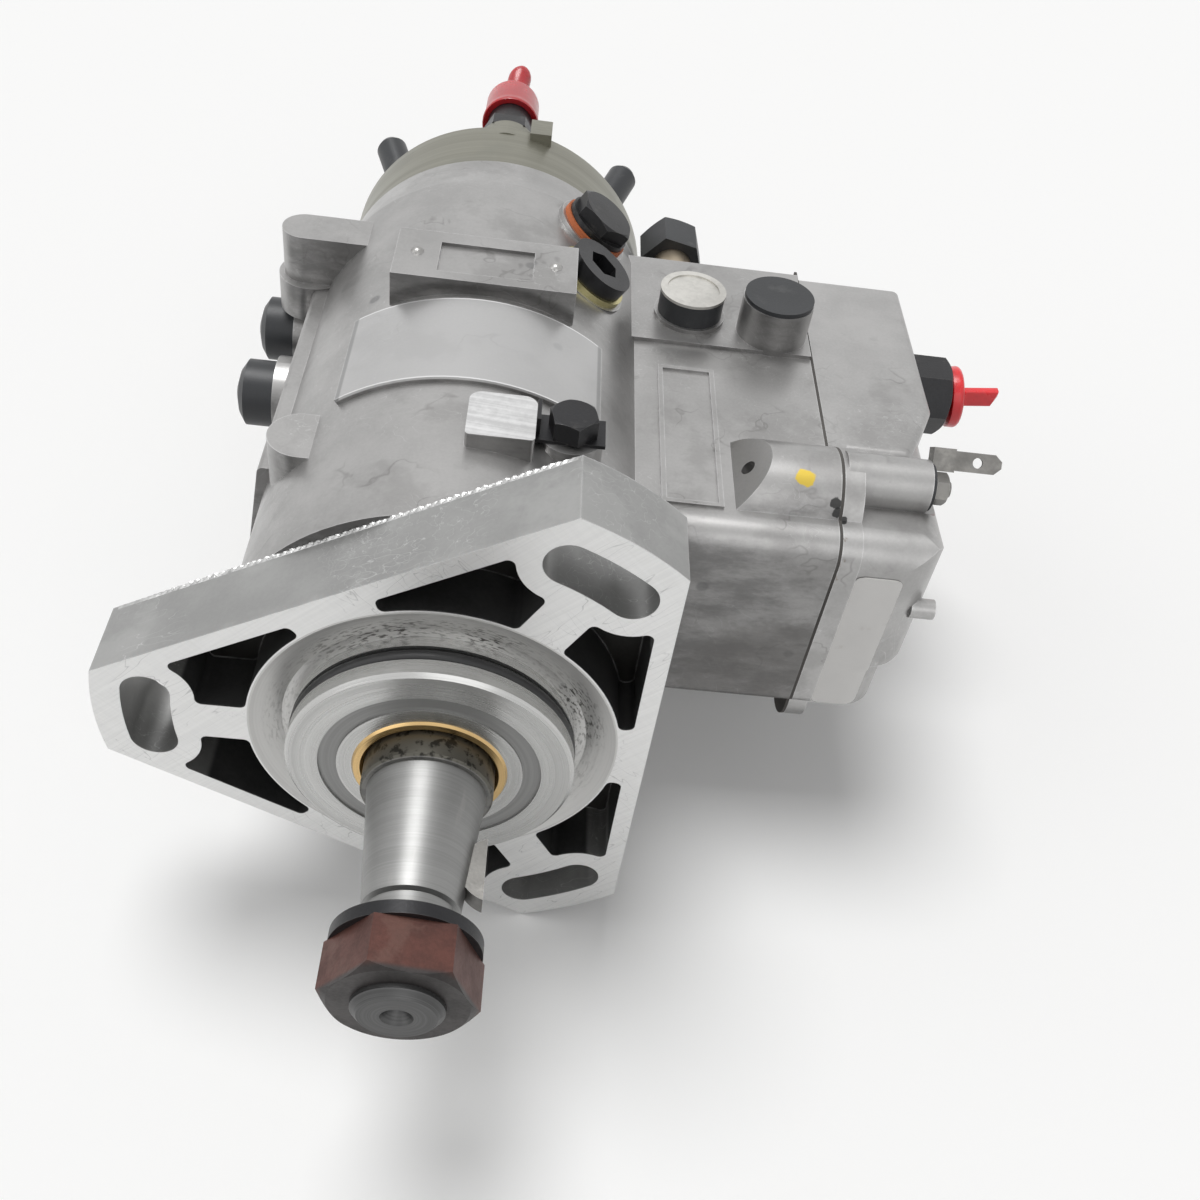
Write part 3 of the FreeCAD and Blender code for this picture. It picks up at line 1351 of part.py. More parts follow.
def cam_rollers():
    middle = (cam_y0 + cam_y1) / 2 + 2
    sets = []
    for i in range(roller_count):
        roller = rod_y(roller_r, middle - 6, middle + 6, roller_pitch_r, 0)
        shoe = box(rotor_r + 3 + 0.1, roller_pitch_r + 0.6, middle - 6, middle + 6, -5.2, 5.2)
        shoe = shoe.cut(rod_y(roller_r + seat_gap, middle - 7, middle + 7, roller_pitch_r, 0))
        sets.append(turn_y(roller, 90 * i + 45))
        sets.append(turn_y(shoe, 90 * i + 45))
    return sets


def rotor_elements():
    """Loose pieces that turn with the rotor: plungers, rollers, shoes and transfer blades."""
    return Part.makeCompound(pump_plungers() + cam_rollers() + transfer_blades())


def cam_ring():
    """Internal cam: round bore narrowed by one flat lobe per outlet."""
    ring = rod_y(bore_r - seat_gap, cam_y0, cam_y1)
    lobes = box(-cam_lobe_half, cam_lobe_half, cam_y0 - 1, cam_y1 + 1, -cam_lobe_half, cam_lobe_half)
    hollow = rod_y(cam_base_r, cam_y0 - 1, cam_y1 + 1).common(lobes)
    return ring.cut([hollow, rod_x(locating_r + seat_gap, -60, -bore_r + 5, cap_y_front, 0)])


def governor_cage():
    """Weight carrier: disc, hub and a rib between each pair of weights."""
    disc = ring_y(cage_r, shaft_body_r + seat_gap, cage_y0, cage_y1)
    hub = ring_y(shaft_body_r + 3.5, shaft_body_r + seat_gap, cage_y0 - weight_length, cage_y0)
    ribs = []
    for i in range(weight_count):
        rib = box(weight_pitch_r - 9, cage_r, cage_y0 - weight_length, cage_y0, -1.0, 1.0)
        ribs.append(turn_y(rib, 360 / weight_count * (i + 0.5)))
    return disc.fuse(ribs + [hub])


def governor_weights():
    weights = []
    for i in range(weight_count):
        weight = ring_y(cage_r - 1.0, shaft_body_r + 8, cage_y0 - weight_length, cage_y0 - seat_gap)
        step = math.radians(180 / weight_count - 4)
        far = cage_r + 10
        wedge = prism([(Vec(2, cage_y0 - 40, 0), 0), (Vec(far, cage_y0 - 40, -far * math.tan(step)), 0),
                       (Vec(far, cage_y0 - 40, far * math.tan(step)), 0)], AXIS_Y * 60)
        weights.append(turn_y(weight.common(wedge), 360 / weight_count * i))
    return Part.makeCompound(weights)


def thrust_sleeve():
    y0 = arm_y + arm_t + arm_pad + free_gap
    bore = shaft_body_r + run_gap
    return turned([(bore, y0), (sleeve_r - 4, y0), (sleeve_r, y0 + 2), (sleeve_r, y0 + sleeve_length),
                   (bore, y0 + sleeve_length)])


def governor_arm():
    """Forked lever from the thrust sleeve up to the linkage, on a cross pin."""
    y0, y1 = arm_y, arm_y + arm_t
    fork = []
    for z in (-arm_prong_z, arm_prong_z):
        fork.append(box(-2, arm_pivot_x - 4, y0, y1, z - 2.5, z + 2.5))
        fork.append(box(-2, 2, y0, y1 + arm_pad, z - 2.5, z + 2.5))
    bridge = box(arm_pivot_x - 12, arm_pivot_x - 4, y0, y1, -17.5, 17.5)
    upper = box(arm_pivot_x - 5, arm_top_x, y0, y1, -5, link_z + 3.5)
    knuckle = rod_z(4.2, -17.5, 17.5, arm_pivot_x, y0 + arm_t / 2)
    arm = bridge.fuse(fork + [upper, knuckle])
    return arm.cut([rod_z(arm_pin_r + run_gap, -30, 30, arm_pivot_x, y0 + arm_t / 2),
                    rod_y(link_r + free_gap, y0 - 1, y1 + 1, link_x, link_z)])


def governor_linkage():
    """Rod from the governor arm to the metering valve, with a flat eye at the valve end."""
    y0 = gov_y0 + gov_wall + 0.5
    bar = rod_y(link_r, y0, meter_y - 3.4, link_x, link_z)
    eye = rod_x(3.8, link_x - 1.0, link_x + 1.0, meter_y, link_z)
    eye = eye.cut(rod_x(meter_pin_r + 0.9, link_x - 3, link_x + 3, meter_y, link_z))
    stop = rod_y(link_r + 1.4, arm_y + arm_t + free_gap, arm_y + arm_t + 2, link_x, link_z)
    return bar.fuse([eye, stop])


def metering_valve():
    """Rotary valve in the head with a crank arm and pin."""
    stem = rod_x(meter_r, rotor_r + 4.5, link_x - 3.5, meter_y, 0)
    crank = box(link_x - 3.6, link_x - 1.6, meter_y - 3.2, meter_y + 3.2, -meter_r, meter_arm_r + 2)
    pin = rod_x(meter_pin_r, link_x - 2, link_x + 2.4, meter_y, link_z)
    helix_cut = box(rotor_r + 6, rotor_r + 12, meter_y + meter_r - 1.2, meter_y + meter_r + 1, -5, 5)
    return stem.cut(helix_cut).fuse([crank, pin])


def governor_spring():
    """Open coil and the stud that guides it from the rear wall towards the governor arm."""
    front = arm_y + arm_t + 3.0
    coil = Part.makeHelix(spring_pitch, spring_length, spring_r)
    section = Part.Wire(Part.Circle(Vec(spring_r, 0, 0), AXIS_Y, spring_wire).toShape())
    spring = Part.Wire(coil).makePipeShell([section], True, True)
    spring.rotate(ORIGIN, AXIS_X, -90)
    spring.translate(Vec(spring_x, front, spring_z))
    seat = front + spring_length + spring_wire + free_gap
    stud = rod_y(spring_r - 2.1, front + 1.0, gov_y1 - gov_wall - seat_gap, spring_x, spring_z)
    collar = rod_y(spring_r + 1.0, seat, seat + 2.5, spring_x, spring_z)
    return Part.makeCompound([spring, stud.fuse(collar)])


NODES = {
    "mounting_flange": mounting_flange,
    "pilot_hub": pilot_hub,
    "o_rings": o_rings,
    "face_seal_ring": face_seal_ring,
    "shaft_bush": shaft_bush,
    "shaft_seals": shaft_seals,
    "drive_shaft": drive_shaft,
    "shaft_key": lambda: key_blank(0.0),
    "shaft_washer": shaft_washer,
    "shaft_nut": shaft_nut,
    "pump_housing": pump_housing,
    "cover_gasket": cover_gasket,
    "governor_cover": governor_cover,
    "terminal_insulator": terminal_insulator,
    "terminal_stud": terminal_stud,
    "terminal_nut": terminal_nut,
    "terminal_blade": terminal_blade,
    "shutoff_coil": shutoff_coil,
    "shutoff_armature": shutoff_armature,
    "hinge_pins": hinge_pins,
    "return_connector": return_connector,
    "return_plug": return_plug,
    "rear_port_fitting": rear_port_fitting,
    "rear_port_cap": rear_port_cap,
    "throttle_shaft": throttle_shaft,
    "throttle_lever": throttle_lever,
    "throttle_nut": throttle_nut,
    "bore_sleeve": bore_sleeve,
    "bore_cup": bore_cup,
    "second_bore_cap": second_cap,
    "nameplate_rivets": nameplate_rivets,
    "front_hex_plug": front_hex_plug,
    "plug_lock_plate": lock_plate,
    "socket_plug": socket_plug,
    "socket_plug_washer": lambda: seal_washer(socket_plug_y, socket_plug_seat),
    "head_plug": head_plug,
    "head_plug_seal": lambda: seal_washer(head_plug_y, head_plug_seat),
    "locating_screws": locating_screws,
    "side_caps": side_caps,
    "window_cover": window_cover,
    "window_screws": window_screws,
    "hydraulic_head": hydraulic_head,
    "discharge_fittings": discharge_fittings,
    "discharge_caps": discharge_caps,
    "inlet_fitting": inlet_fitting,
    "inlet_plug": inlet_plug,
    "pump_liner": pump_liner,
    "end_plate": end_plate,
    "socket_screws": socket_screws,
    "regulator_plug": regulator_plug,
    "distributor_rotor": distributor_rotor,
    "rotor_elements": rotor_elements,
    "cam_ring": cam_ring,
    "governor_cage": governor_cage,
    "governor_weights": governor_weights,
    "thrust_sleeve": thrust_sleeve,
    "governor_arm": governor_arm,
    "governor_linkage": governor_linkage,
    "governor_spring": governor_spring,
    "metering_valve": metering_valve,
}

os.makedirs("parts", exist_ok=True)
for node, make in NODES.items():
    write(node, make())
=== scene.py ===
import math
import bpy
import numpy as np
from mathutils import Matrix, Vector


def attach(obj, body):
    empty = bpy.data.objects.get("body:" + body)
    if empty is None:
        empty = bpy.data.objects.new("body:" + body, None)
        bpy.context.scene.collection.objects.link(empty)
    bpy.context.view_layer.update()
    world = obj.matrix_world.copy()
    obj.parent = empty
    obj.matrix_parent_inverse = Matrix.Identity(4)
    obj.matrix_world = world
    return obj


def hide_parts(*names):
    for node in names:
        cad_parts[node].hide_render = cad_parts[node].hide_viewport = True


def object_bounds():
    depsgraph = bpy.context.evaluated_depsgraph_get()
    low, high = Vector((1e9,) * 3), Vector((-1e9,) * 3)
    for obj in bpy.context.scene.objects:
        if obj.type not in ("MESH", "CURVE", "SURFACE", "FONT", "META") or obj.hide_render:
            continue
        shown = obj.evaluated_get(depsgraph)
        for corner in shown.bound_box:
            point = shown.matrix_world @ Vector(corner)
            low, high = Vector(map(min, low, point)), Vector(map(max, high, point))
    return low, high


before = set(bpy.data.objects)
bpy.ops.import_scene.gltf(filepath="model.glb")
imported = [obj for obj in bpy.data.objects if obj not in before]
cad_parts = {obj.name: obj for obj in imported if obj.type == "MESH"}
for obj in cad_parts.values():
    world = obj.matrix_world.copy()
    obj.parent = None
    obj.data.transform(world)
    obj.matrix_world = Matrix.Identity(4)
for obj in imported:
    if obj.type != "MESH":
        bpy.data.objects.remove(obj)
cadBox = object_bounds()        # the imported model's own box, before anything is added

scene = bpy.context.scene
print("frame loaded:", len(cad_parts), "nodes")


# helpers for node trees: a value that is a socket is linked, any other value is set

def setInput(tree, socket, value):
    if isinstance(value, bpy.types.NodeSocket):
        tree.links.new(value, socket)
    else:
        socket.default_value = value


def addNode(tree, kind, inputs=None, **settings):
    node = tree.nodes.new(kind)
    for name, value in settings.items():
        setattr(node, name, value)
    for name, value in (inputs or {}).items():
        setInput(tree, node.inputs[name], value)
    return node


def calc(tree, operation, a, b=0.0):
    return addNode(tree, "ShaderNodeMath", {0: a, 1: b}, operation=operation).outputs[0]


def times(tree, a, b):
    return calc(tree, "MULTIPLY", a, b)


def vectorCalc(tree, operation, a, b):
    node = addNode(tree, "ShaderNodeVectorMath", {0: a, 1: b}, operation=operation)
    return node.outputs["Value" if operation in ("DOT_PRODUCT", "DISTANCE") else "Vector"]


def turnVector(tree, vector, rotation):
    return addNode(tree, "ShaderNodeVectorRotate", {"Vector": vector, "Rotation": rotation},
                   rotation_type="EULER_XYZ").outputs[0]


def splitXyz(tree, vector):
    return addNode(tree, "ShaderNodeSeparateXYZ", {0: vector}).outputs


def facingY(tree):
    # how far the surface faces along the drive axis, -1 at the front
    return splitXyz(tree, addNode(tree, "ShaderNodeTexCoord").outputs["Normal"])[1]


def axisDistance(tree, parts):
    squares = calc(tree, "ADD", times(tree, parts[0], parts[0]), times(tree, parts[2], parts[2]))
    return calc(tree, "SQRT", squares)


def ramp(tree, value, low, high, toLow=0.0, toHigh=1.0, kind="SMOOTHSTEP"):
    return addNode(tree, "ShaderNodeMapRange", {"Value": value, "From Min": low, "From Max": high,
                   "To Min": toLow, "To Max": toHigh}, interpolation_type=kind).outputs["Result"]


def mixNumber(tree, share, first, second):
    return addNode(tree, "ShaderNodeMix", {0: share, 2: first, 3: second}).outputs[0]


def blendColor(tree, share, first, second):
    mix = addNode(tree, "ShaderNodeMix", {0: share}, data_type="RGBA")
    for index, color in ((6, first), (7, second)):
        isSocket = isinstance(color, bpy.types.NodeSocket)
        setInput(tree, mix.inputs[index], color if isSocket else (*color, 1.0))
    return mix.outputs[2]


def shade(color, factor):
    return tuple(c * factor for c in color)


def twoTone(tree, tone, toneRange, color, dark, light=1.0):
    # the colour times dark where the tone is low, times light where it is high
    return blendColor(tree, ramp(tree, tone, *toneRange), shade(color, dark), shade(color, light))


def noise(tree, vector, scale, detail=2.0, rough=0.5):
    return addNode(tree, "ShaderNodeTexNoise", {"Vector": vector, "Scale": scale, "Detail": detail,
                   "Roughness": rough}).outputs["Fac"]


def thinLine(tree, field, width):
    # 1 where the field crosses its middle value, 0 from width away
    gap = calc(tree, "ABSOLUTE", calc(tree, "SUBTRACT", field, 0.5))
    return ramp(tree, gap, 0.0, width, 1.0, 0.0, "LINEAR")


vectorInputs = ("Vector", "Turn", "Centre")


def openGroup(name, inputs, outputs):
    group = bpy.data.node_groups.new(name, "ShaderNodeTree")
    for label in inputs:
        kind = "NodeSocketVector" if label in vectorInputs else "NodeSocketFloat"
        group.interface.new_socket(label, in_out="INPUT", socket_type=kind)
    for label in outputs:
        group.interface.new_socket(label, in_out="OUTPUT", socket_type="NodeSocketFloat")
    return group, group.nodes.new("NodeGroupInput").outputs, group.nodes.new("NodeGroupOutput")


def closeGroup(group, drain, results):
    for label, socket in results.items():
        group.links.new(socket, drain.inputs[label])
    return group


def useGroup(tree, group, inputs):
    return addNode(tree, "ShaderNodeGroup", inputs, node_tree=group).outputs


def paintMask(tree, color, group, inputs, share, paint):
    # paint laid over the colour where the group's mask is high
    mask = useGroup(tree, group, inputs)["Mask"]
    return blendColor(tree, times(tree, mask, share), color, paint)


# effects that several finishes share; the pairs named detail are a noise's detail and roughness

grainSet = {"fineDetail": (3.0, 0.6), "broadDetail": (3.0, 0.55), "pitCells": (0.86, 0.9), "pitReach": (0.16, 0.3),
    "broadShare": 0.75, "fineShare": 0.25}


def makeGrainGroup(look):
    # grain: fine noise for the skin, broad noise for the tone, small dark pits where a cell's own number is high
    group, given, drain = openGroup("castGrain", ["Vector", "Fine", "Broad", "Pits"], ["Tone", "Height", "Pit"])
    fine = noise(group, given["Vector"], given["Fine"], *look["fineDetail"])
    broad = noise(group, given["Vector"], given["Broad"], *look["broadDetail"])
    cells = addNode(group, "ShaderNodeTexVoronoi", {"Vector": given["Vector"], "Scale": given["Pits"]}).outputs
    chosen = ramp(group, cells["Color"], *look["pitCells"])
    pit = times(group, chosen, ramp(group, cells["Distance"], *look["pitReach"], 1.0, 0.0))
    tone = calc(group, "ADD", times(group, broad, look["broadShare"]), times(group, fine, look["fineShare"]))
    return closeGroup(group, drain, {"Tone": tone, "Height": calc(group, "SUBTRACT", fine, pit), "Pit": pit})


turnedSet = {"lean": 0.02, "fineDetail": (2.0, 0.6), "coarsePitch": 0.14, "coarseDetail": (2.0, 0.5), "share": 0.5}


def makeTurnedGroup(look):
    # turning marks: noise over (distance from the axis, place along it), so every mark is a ring about Y
    group, given, drain = openGroup("turnedRings", ["Vector", "Pitch"], ["Tone", "Height"])
    parts = splitXyz(group, given["Vector"])
    rings = addNode(group, "ShaderNodeCombineXYZ", {0: axisDistance(group, parts), 1: parts[1],
                    2: times(group, parts[0], look["lean"])}).outputs[0]
    fine = noise(group, rings, given["Pitch"], *look["fineDetail"])
    coarse = noise(group, rings, times(group, given["Pitch"], look["coarsePitch"]), *look["coarseDetail"])
    tone = calc(group, "ADD", times(group, fine, look["share"]), times(group, coarse, look["share"]))
    return closeGroup(group, drain, {"Tone": tone, "Height": fine})


milledSet = {"along": (0.03, 1.0, 1.0), "across": (1.0, 1.0, 0.04), "detail": (2.0, 0.6), "alongShare": 0.7,
    "acrossShare": 0.3}


def makeMilledGroup(look):
    # cutter marks: noise pulled out along one line, crossed by a second, weaker set
    group, given, drain = openGroup("milledMarks", ["Vector", "Pitch", "Turn"], ["Tone", "Height"])
    turned = turnVector(group, given["Vector"], given["Turn"])
    along, across = (noise(group, vectorCalc(group, "MULTIPLY", turned, look[way]), given["Pitch"], *look["detail"])
                     for way in ("along", "across"))
    tone = calc(group, "ADD", times(group, along, look["alongShare"]), times(group, across, look["acrossShare"]))
    return closeGroup(group, drain, {"Tone": tone, "Height": tone})


# each line family of the scratches is a turn and a stretch
scratchSet = {"families": (((0.3, 0.8, 0.2), (1.0, 7.0, 7.0)), ((0.9, -0.7, 1.1), (8.0, 1.0, 8.0)),
        ((0.2, 1.9, 0.5), (1.2, 9.0, 9.0))),
    "detail": (1.0, 0.4), "patchSize": 28.0, "patchDetail": 1.0, "patchRange": (0.54, 0.62)}


def makeScratchGroup(look):
    # scratches: thin lines where a long, stretched noise crosses its middle value, kept only in some patches
    group, given, drain = openGroup("scratches", ["Vector", "Length", "Width"], ["Mask"])
    total = None
    for turn, stretch in look["families"]:
        turned = turnVector(group, given["Vector"], turn)
        field = noise(group, vectorCalc(group, "MULTIPLY", turned, stretch), given["Length"], *look["detail"])
        patch = ramp(group, noise(group, turned, look["patchSize"], look["patchDetail"]), *look["patchRange"])
        kept = times(group, thinLine(group, field, given["Width"]), patch)
        total = kept if total is None else calc(group, "MAXIMUM", total, kept)
    return closeGroup(group, drain, {"Mask": total})


stainSet = {"detail": (5.0, 0.62), "border": 0.12}


def makeStainGroup(look):
    # stains: broad soft patches with ragged borders
    group, given, drain = openGroup("stains", ["Vector", "Size", "Spread"], ["Mask"])
    field = noise(group, given["Vector"], given["Size"], *look["detail"])
    upper = calc(group, "ADD", given["Spread"], look["border"])
    return closeGroup(group, drain, {"Mask": ramp(group, field, given["Spread"], upper)})


edgeSet = {"samples": 4, "sameness": (0.8, 0.97), "breakSize": 260.0, "breakRange": (0.35, 0.6), "breakLow": 0.35}


def makeEdgeGroup(look):
    # edge wear and painted edge highlight: high where the surface, rounded by Reach, would face another way than it
    # does
    group, given, drain = openGroup("edgeWearAndHighlight", ["Vector", "Reach"], ["Mask"])
    rounded = addNode(group, "ShaderNodeBevel", {"Radius": given["Reach"]}, samples=look["samples"]).outputs[0]
    plain = addNode(group, "ShaderNodeNewGeometry").outputs["Normal"]
    edge = ramp(group, vectorCalc(group, "DOT_PRODUCT", rounded, plain), *look["sameness"], 1.0, 0.0)
    broken = ramp(group, noise(group, given["Vector"], look["breakSize"]), *look["breakRange"], look["breakLow"], 1.0)
    return closeGroup(group, drain, {"Mask": times(group, edge, broken)})


spotSet = {"ragSize": 420.0, "ragDetail": 3.0, "ragPush": 4.0, "inner": 0.82}


def makeSpotGroup(look):
    # spot: a blob about a point, its border pushed in and out by noise
    group, given, drain = openGroup("spot", ["Vector", "Centre", "Radius", "Ragged"], ["Mask"])
    gap = vectorCalc(group, "DISTANCE", given["Vector"], given["Centre"])
    swing = calc(group, "SUBTRACT", noise(group, given["Vector"], look["ragSize"], look["ragDetail"]), 0.5)
    uneven = times(group, swing, given["Ragged"])
    pushed = calc(group, "ADD", gap, times(group, uneven, look["ragPush"]))
    inner = times(group, given["Radius"], look["inner"])
    return closeGroup(group, drain, {"Mask": ramp(group, pushed, inner, given["Radius"], 1.0, 0.0)})


veinSet = {"warp": (0.02, 0.02, 0.02), "detail": (3.0, 0.55), "patchSize": 40.0, "patchRange": (0.48, 0.62)}


def makeVeinGroup(look):
    # veins: thin wandering lines where a warped noise crosses its middle value, kept in some patches
    group, given, drain = openGroup("veins", ["Vector", "Size", "Width"], ["Mask"])
    warp = addNode(group, "ShaderNodeTexNoise", {"Vector": given["Vector"], "Scale": given["Size"]}).outputs["Color"]
    moved = addNode(group, "ShaderNodeVectorMath", {0: warp, 1: look["warp"], 2: given["Vector"]},
                    operation="MULTIPLY_ADD").outputs[0]
    field = noise(group, moved, given["Size"], *look["detail"])
    patch = ramp(group, noise(group, given["Vector"], look["patchSize"]), *look["patchRange"])
    return closeGroup(group, drain, {"Mask": times(group, thinLine(group, field, given["Width"]), patch)})


veinGroup = makeVeinGroup(veinSet)
grainGroup = makeGrainGroup(grainSet)
edgeGroup = makeEdgeGroup(edgeSet)
spotGroup = makeSpotGroup(spotSet)
turnedGroup = makeTurnedGroup(turnedSet)
milledGroup = makeMilledGroup(milledSet)
scratchGroup = makeScratchGroup(scratchSet)
stainGroup = makeStainGroup(stainSet)


# a finish: base colour, what marks it, how it shines

def startFinish(name):
    material = bpy.data.materials.new(name)
    material.use_nodes = True
    tree = material.node_tree
    tree.nodes.clear()
    place = addNode(tree, "ShaderNodeTexCoord").outputs["Object"]
    return material, tree, place


def endFinish(tree, color, rough, height, look):
    bump = addNode(tree, "ShaderNodeBump", {"Height": height, "Strength": look["bump"], "Distance": look["bumpDepth"]})
    shader = addNode(tree, "ShaderNodeBsdfPrincipled", {"Base Color": color, "Roughness": rough,
                     "Metallic": look["metallic"], "Normal": bump.outputs["Normal"], **look.get("sockets", {})})
    addNode(tree, "ShaderNodeOutputMaterial", {"Surface": shader.outputs[0]})


# what a marked finish takes where its own look says nothing
sharedLook = {"marks": "cast", "broad": 38.0, "pits": 260.0, "metallic": 1.0, "bumpDepth": 0.0002,
    "toneRange": (0.3, 0.7), "roughSwing": 0.05, "pitShare": 0.8, "stainSpread": 0.56,
    "scratchLength": 45.0, "edgeReach": 0.0005, "spots": []}


def markedFinish(name, ownLook):
    look = {**sharedLook, **ownLook}
    material, tree, place = startFinish(name)
    if look["marks"] == "turned":
        marks = useGroup(tree, turnedGroup, {"Vector": place, "Pitch": look["pitch"]})
    else:
        marks = useGroup(tree, grainGroup, {"Vector": place, "Fine": look["fine"], "Broad": look["broad"],
                         "Pits": look["pits"]})
    spread, swing = look["spread"], look["roughSwing"]
    color = twoTone(tree, marks["Tone"], look["toneRange"], look["color"], 1.0 - spread, 1.0 + spread)
    rough = ramp(tree, marks["Tone"], *look["toneRange"], look["roughness"] + swing, look["roughness"] - swing)
    if "pitColor" in look:
        color = blendColor(tree, times(tree, marks["Pit"], look["pitShare"]), color, look["pitColor"])
    if "stainColor" in look:
        color = paintMask(tree, color, stainGroup, {"Vector": place, "Size": look["stainSize"],
                          "Spread": look["stainSpread"]}, look["stainShare"], look["stainColor"])
    if "veinColor" in look:
        color = paintMask(tree, color, veinGroup, {"Vector": place, "Size": look["veinSize"],
                          "Width": look["veinWidth"]}, look["veinShare"], look["veinColor"])
    if "scratchColor" in look:
        color = paintMask(tree, color, scratchGroup, {"Vector": place, "Length": look["scratchLength"],
                          "Width": look["scratchWidth"]}, look["scratchShare"], look["scratchColor"])
    # lighter edges: partly wear, partly a painted highlight
    if "edgeColor" in look:
        color = paintMask(tree, color, edgeGroup, {"Vector": place, "Reach": look["edgeReach"]},
                          look["edgeShare"], look["edgeColor"])
    # painted shade on the housing's front-facing faces
    if "frontShade" in look:
        color = addFrontShade(tree, place, color, look["color"], look["frontShade"])
    if "padTop" in look:
        color = addPadTop(tree, place, color, look["padTop"])
    if "band" in look:
        color = addBand(tree, place, color, look["band"])
    for at, radius, paint, ragged, share in look["spots"]:
        color = paintMask(tree, color, spotGroup, {"Vector": place, "Centre": at, "Radius": radius, "Ragged": ragged},
                          share, paint)
    endFinish(tree, color, rough, marks["Height"], look)
    return material


def addFrontShade(tree, place, color, base, look):
    # painted shade on the faces that face the front, broken up by a mottle like the casting's streaky tone
    drift = vectorCalc(tree, "MULTIPLY", place, look["stretch"])
    mottle = ramp(tree, noise(tree, drift, *look["noise"]), *look["mottle"])
    paintedFrontShade = times(tree, times(tree, ramp(tree, facingY(tree), *look["facing"], 1.0, 0.0), mottle), look["share"])
    return blendColor(tree, paintedFrontShade, color, shade(base, look["dark"]))


def addPadTop(tree, place, color, look):
    # milled top of the square pad: inside its outline and above its height
    parts = splitXyz(tree, place)
    mask = ramp(tree, parts[2], look["z"], look["z"] + look["step"])
    for part, (low, high) in ((parts[0], look["x"]), (parts[1], look["y"])):
        mask = times(tree, mask, times(tree, ramp(tree, part, low - look["soft"], low),
                     ramp(tree, part, high, high + look["soft"], 1.0, 0.0)))
    marks = useGroup(tree, milledGroup, {"Vector": place, "Pitch": look["pitch"], "Turn": look["turn"]})
    return blendColor(tree, mask, color, twoTone(tree, marks["Tone"], look["toneRange"], look["color"], look["dark"]))


def addBand(tree, place, color, look):
    # machined band on the round body: lighter inside, bright along its front and rear rims, a dark line at its sides
    parts = splitXyz(tree, place)
    wide, line = look["halfWidth"], look["side"]
    middle, half = (look["y0"] + look["y1"]) / 2.0, (look["y1"] - look["y0"]) / 2.0
    proud = ramp(tree, axisDistance(tree, parts), look["inner"], look["inner"] + look["rise"])
    sideways = calc(tree, "ABSOLUTE", parts[0])
    within = times(tree, ramp(tree, sideways, wide, wide + look["sideSoft"], 1.0, 0.0),
                   ramp(tree, parts[2], *look["above"]))
    offset = calc(tree, "ABSOLUTE", calc(tree, "SUBTRACT", parts[1], middle))
    length = ramp(tree, offset, half + look["endSoft"][0], half + look["endSoft"][1], 1.0, 0.0)
    inside = times(tree, times(tree, proud, within), length)
    color = blendColor(tree, times(tree, inside, look["share"]), color, look["color"])
    rim = times(tree, ramp(tree, offset, half - look["rim"], half - look["rim"] / 2.0), inside)
    color = blendColor(tree, times(tree, rim, look["rimShare"]), color, look["rimColor"])
    side = times(tree, ramp(tree, sideways, wide - line * 2.0, wide - line), inside)
    return blendColor(tree, times(tree, side, look["sideShare"]), color, look["sideColor"])


def wear(nodeNames, material):
    for name in nodeNames:
        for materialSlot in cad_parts[name].material_slots:
            materialSlot.material = material


# plain finishes, each with its own settings; a spot is its place, radius, colour, raggedness and share

# the middle colour of these darkens soft blobs of painted shade on the governor housing's lower front
darkSpot, paintedShadeSpot, brownSpot = (0.02, 0.02, 0.02), (0.13, 0.125, 0.12), (0.15, 0.105, 0.07)

castLook = {"color": (0.39, 0.385, 0.38), "roughness": 0.34, "metallic": 0.8, "spread": 0.12, "fine": 1300.0,
    "broad": 55.0, "pits": 150.0, "pitColor": (0.2, 0.2, 0.2), "bump": 0.14, "bumpDepth": 0.0001,
    "stainColor": (0.22, 0.215, 0.21), "stainShare": 0.34, "stainSize": 42.0, "stainSpread": 0.5,
    "veinColor": (0.1, 0.095, 0.09), "veinShare": 0.34, "veinSize": 48.0, "veinWidth": 0.012,
    "scratchColor": (0.62, 0.62, 0.62), "scratchShare": 0.5, "scratchWidth": 0.006,
    "edgeColor": (0.72, 0.72, 0.72), "edgeShare": 0.75}
# settings of the painted shade on the front-facing faces: share, darkness, facing range, stretch and mottle
frontShadeLook = {"share": 0.65, "dark": 0.25, "facing": (-0.9, -0.6), "stretch": (0.6, 1.0, 1.6),
    "noise": (55.0, 6.0, 0.68), "mottle": (0.36, 0.62, 0.45, 1.15)}
padTopLook = {"x": (0.0006, 0.0157), "y": (0.041, 0.0565), "z": 0.0536, "step": 0.0001, "soft": 0.0004,
    "color": (0.72, 0.72, 0.72), "dark": 0.75, "pitch": 700.0, "turn": (0.0, 0.0, 0.1),
    "toneRange": (0.35, 0.65)}
bandLook = {"y0": 0.064, "y1": 0.097, "endSoft": (0.0001, 0.0003), "inner": 0.0507, "rise": 0.0004,
    "halfWidth": 0.0306, "sideSoft": 0.0003, "above": (0.03, 0.032), "color": (0.56, 0.56, 0.56),
    "share": 0.6, "rim": 0.0006, "rimColor": (0.85, 0.85, 0.85), "rimShare": 0.8, "side": 0.0005,
    "sideColor": (0.2, 0.2, 0.2), "sideShare": 0.6}
housingLook = dict(castLook, frontShade=frontShadeLook, padTop=padTopLook, band=bandLook, spots=[
        ((0.08133, 0.06169, 0.03527), 0.0025, (0.62, 0.45, 0.06), 0.0006, 0.95),
        ((0.0893, 0.0574, 0.0318), 0.0016, darkSpot, 0.0005, 0.9),
        ((0.0899, 0.0562, 0.0301), 0.0014, darkSpot, 0.0005, 0.9),
        # two soft blobs of painted shade on the governor housing's lower front
        ((0.083, 0.045, -0.022), 0.026, paintedShadeSpot, 0.002, 0.4),
        ((0.060, 0.045, -0.012), 0.018, paintedShadeSpot, 0.002, 0.12)])
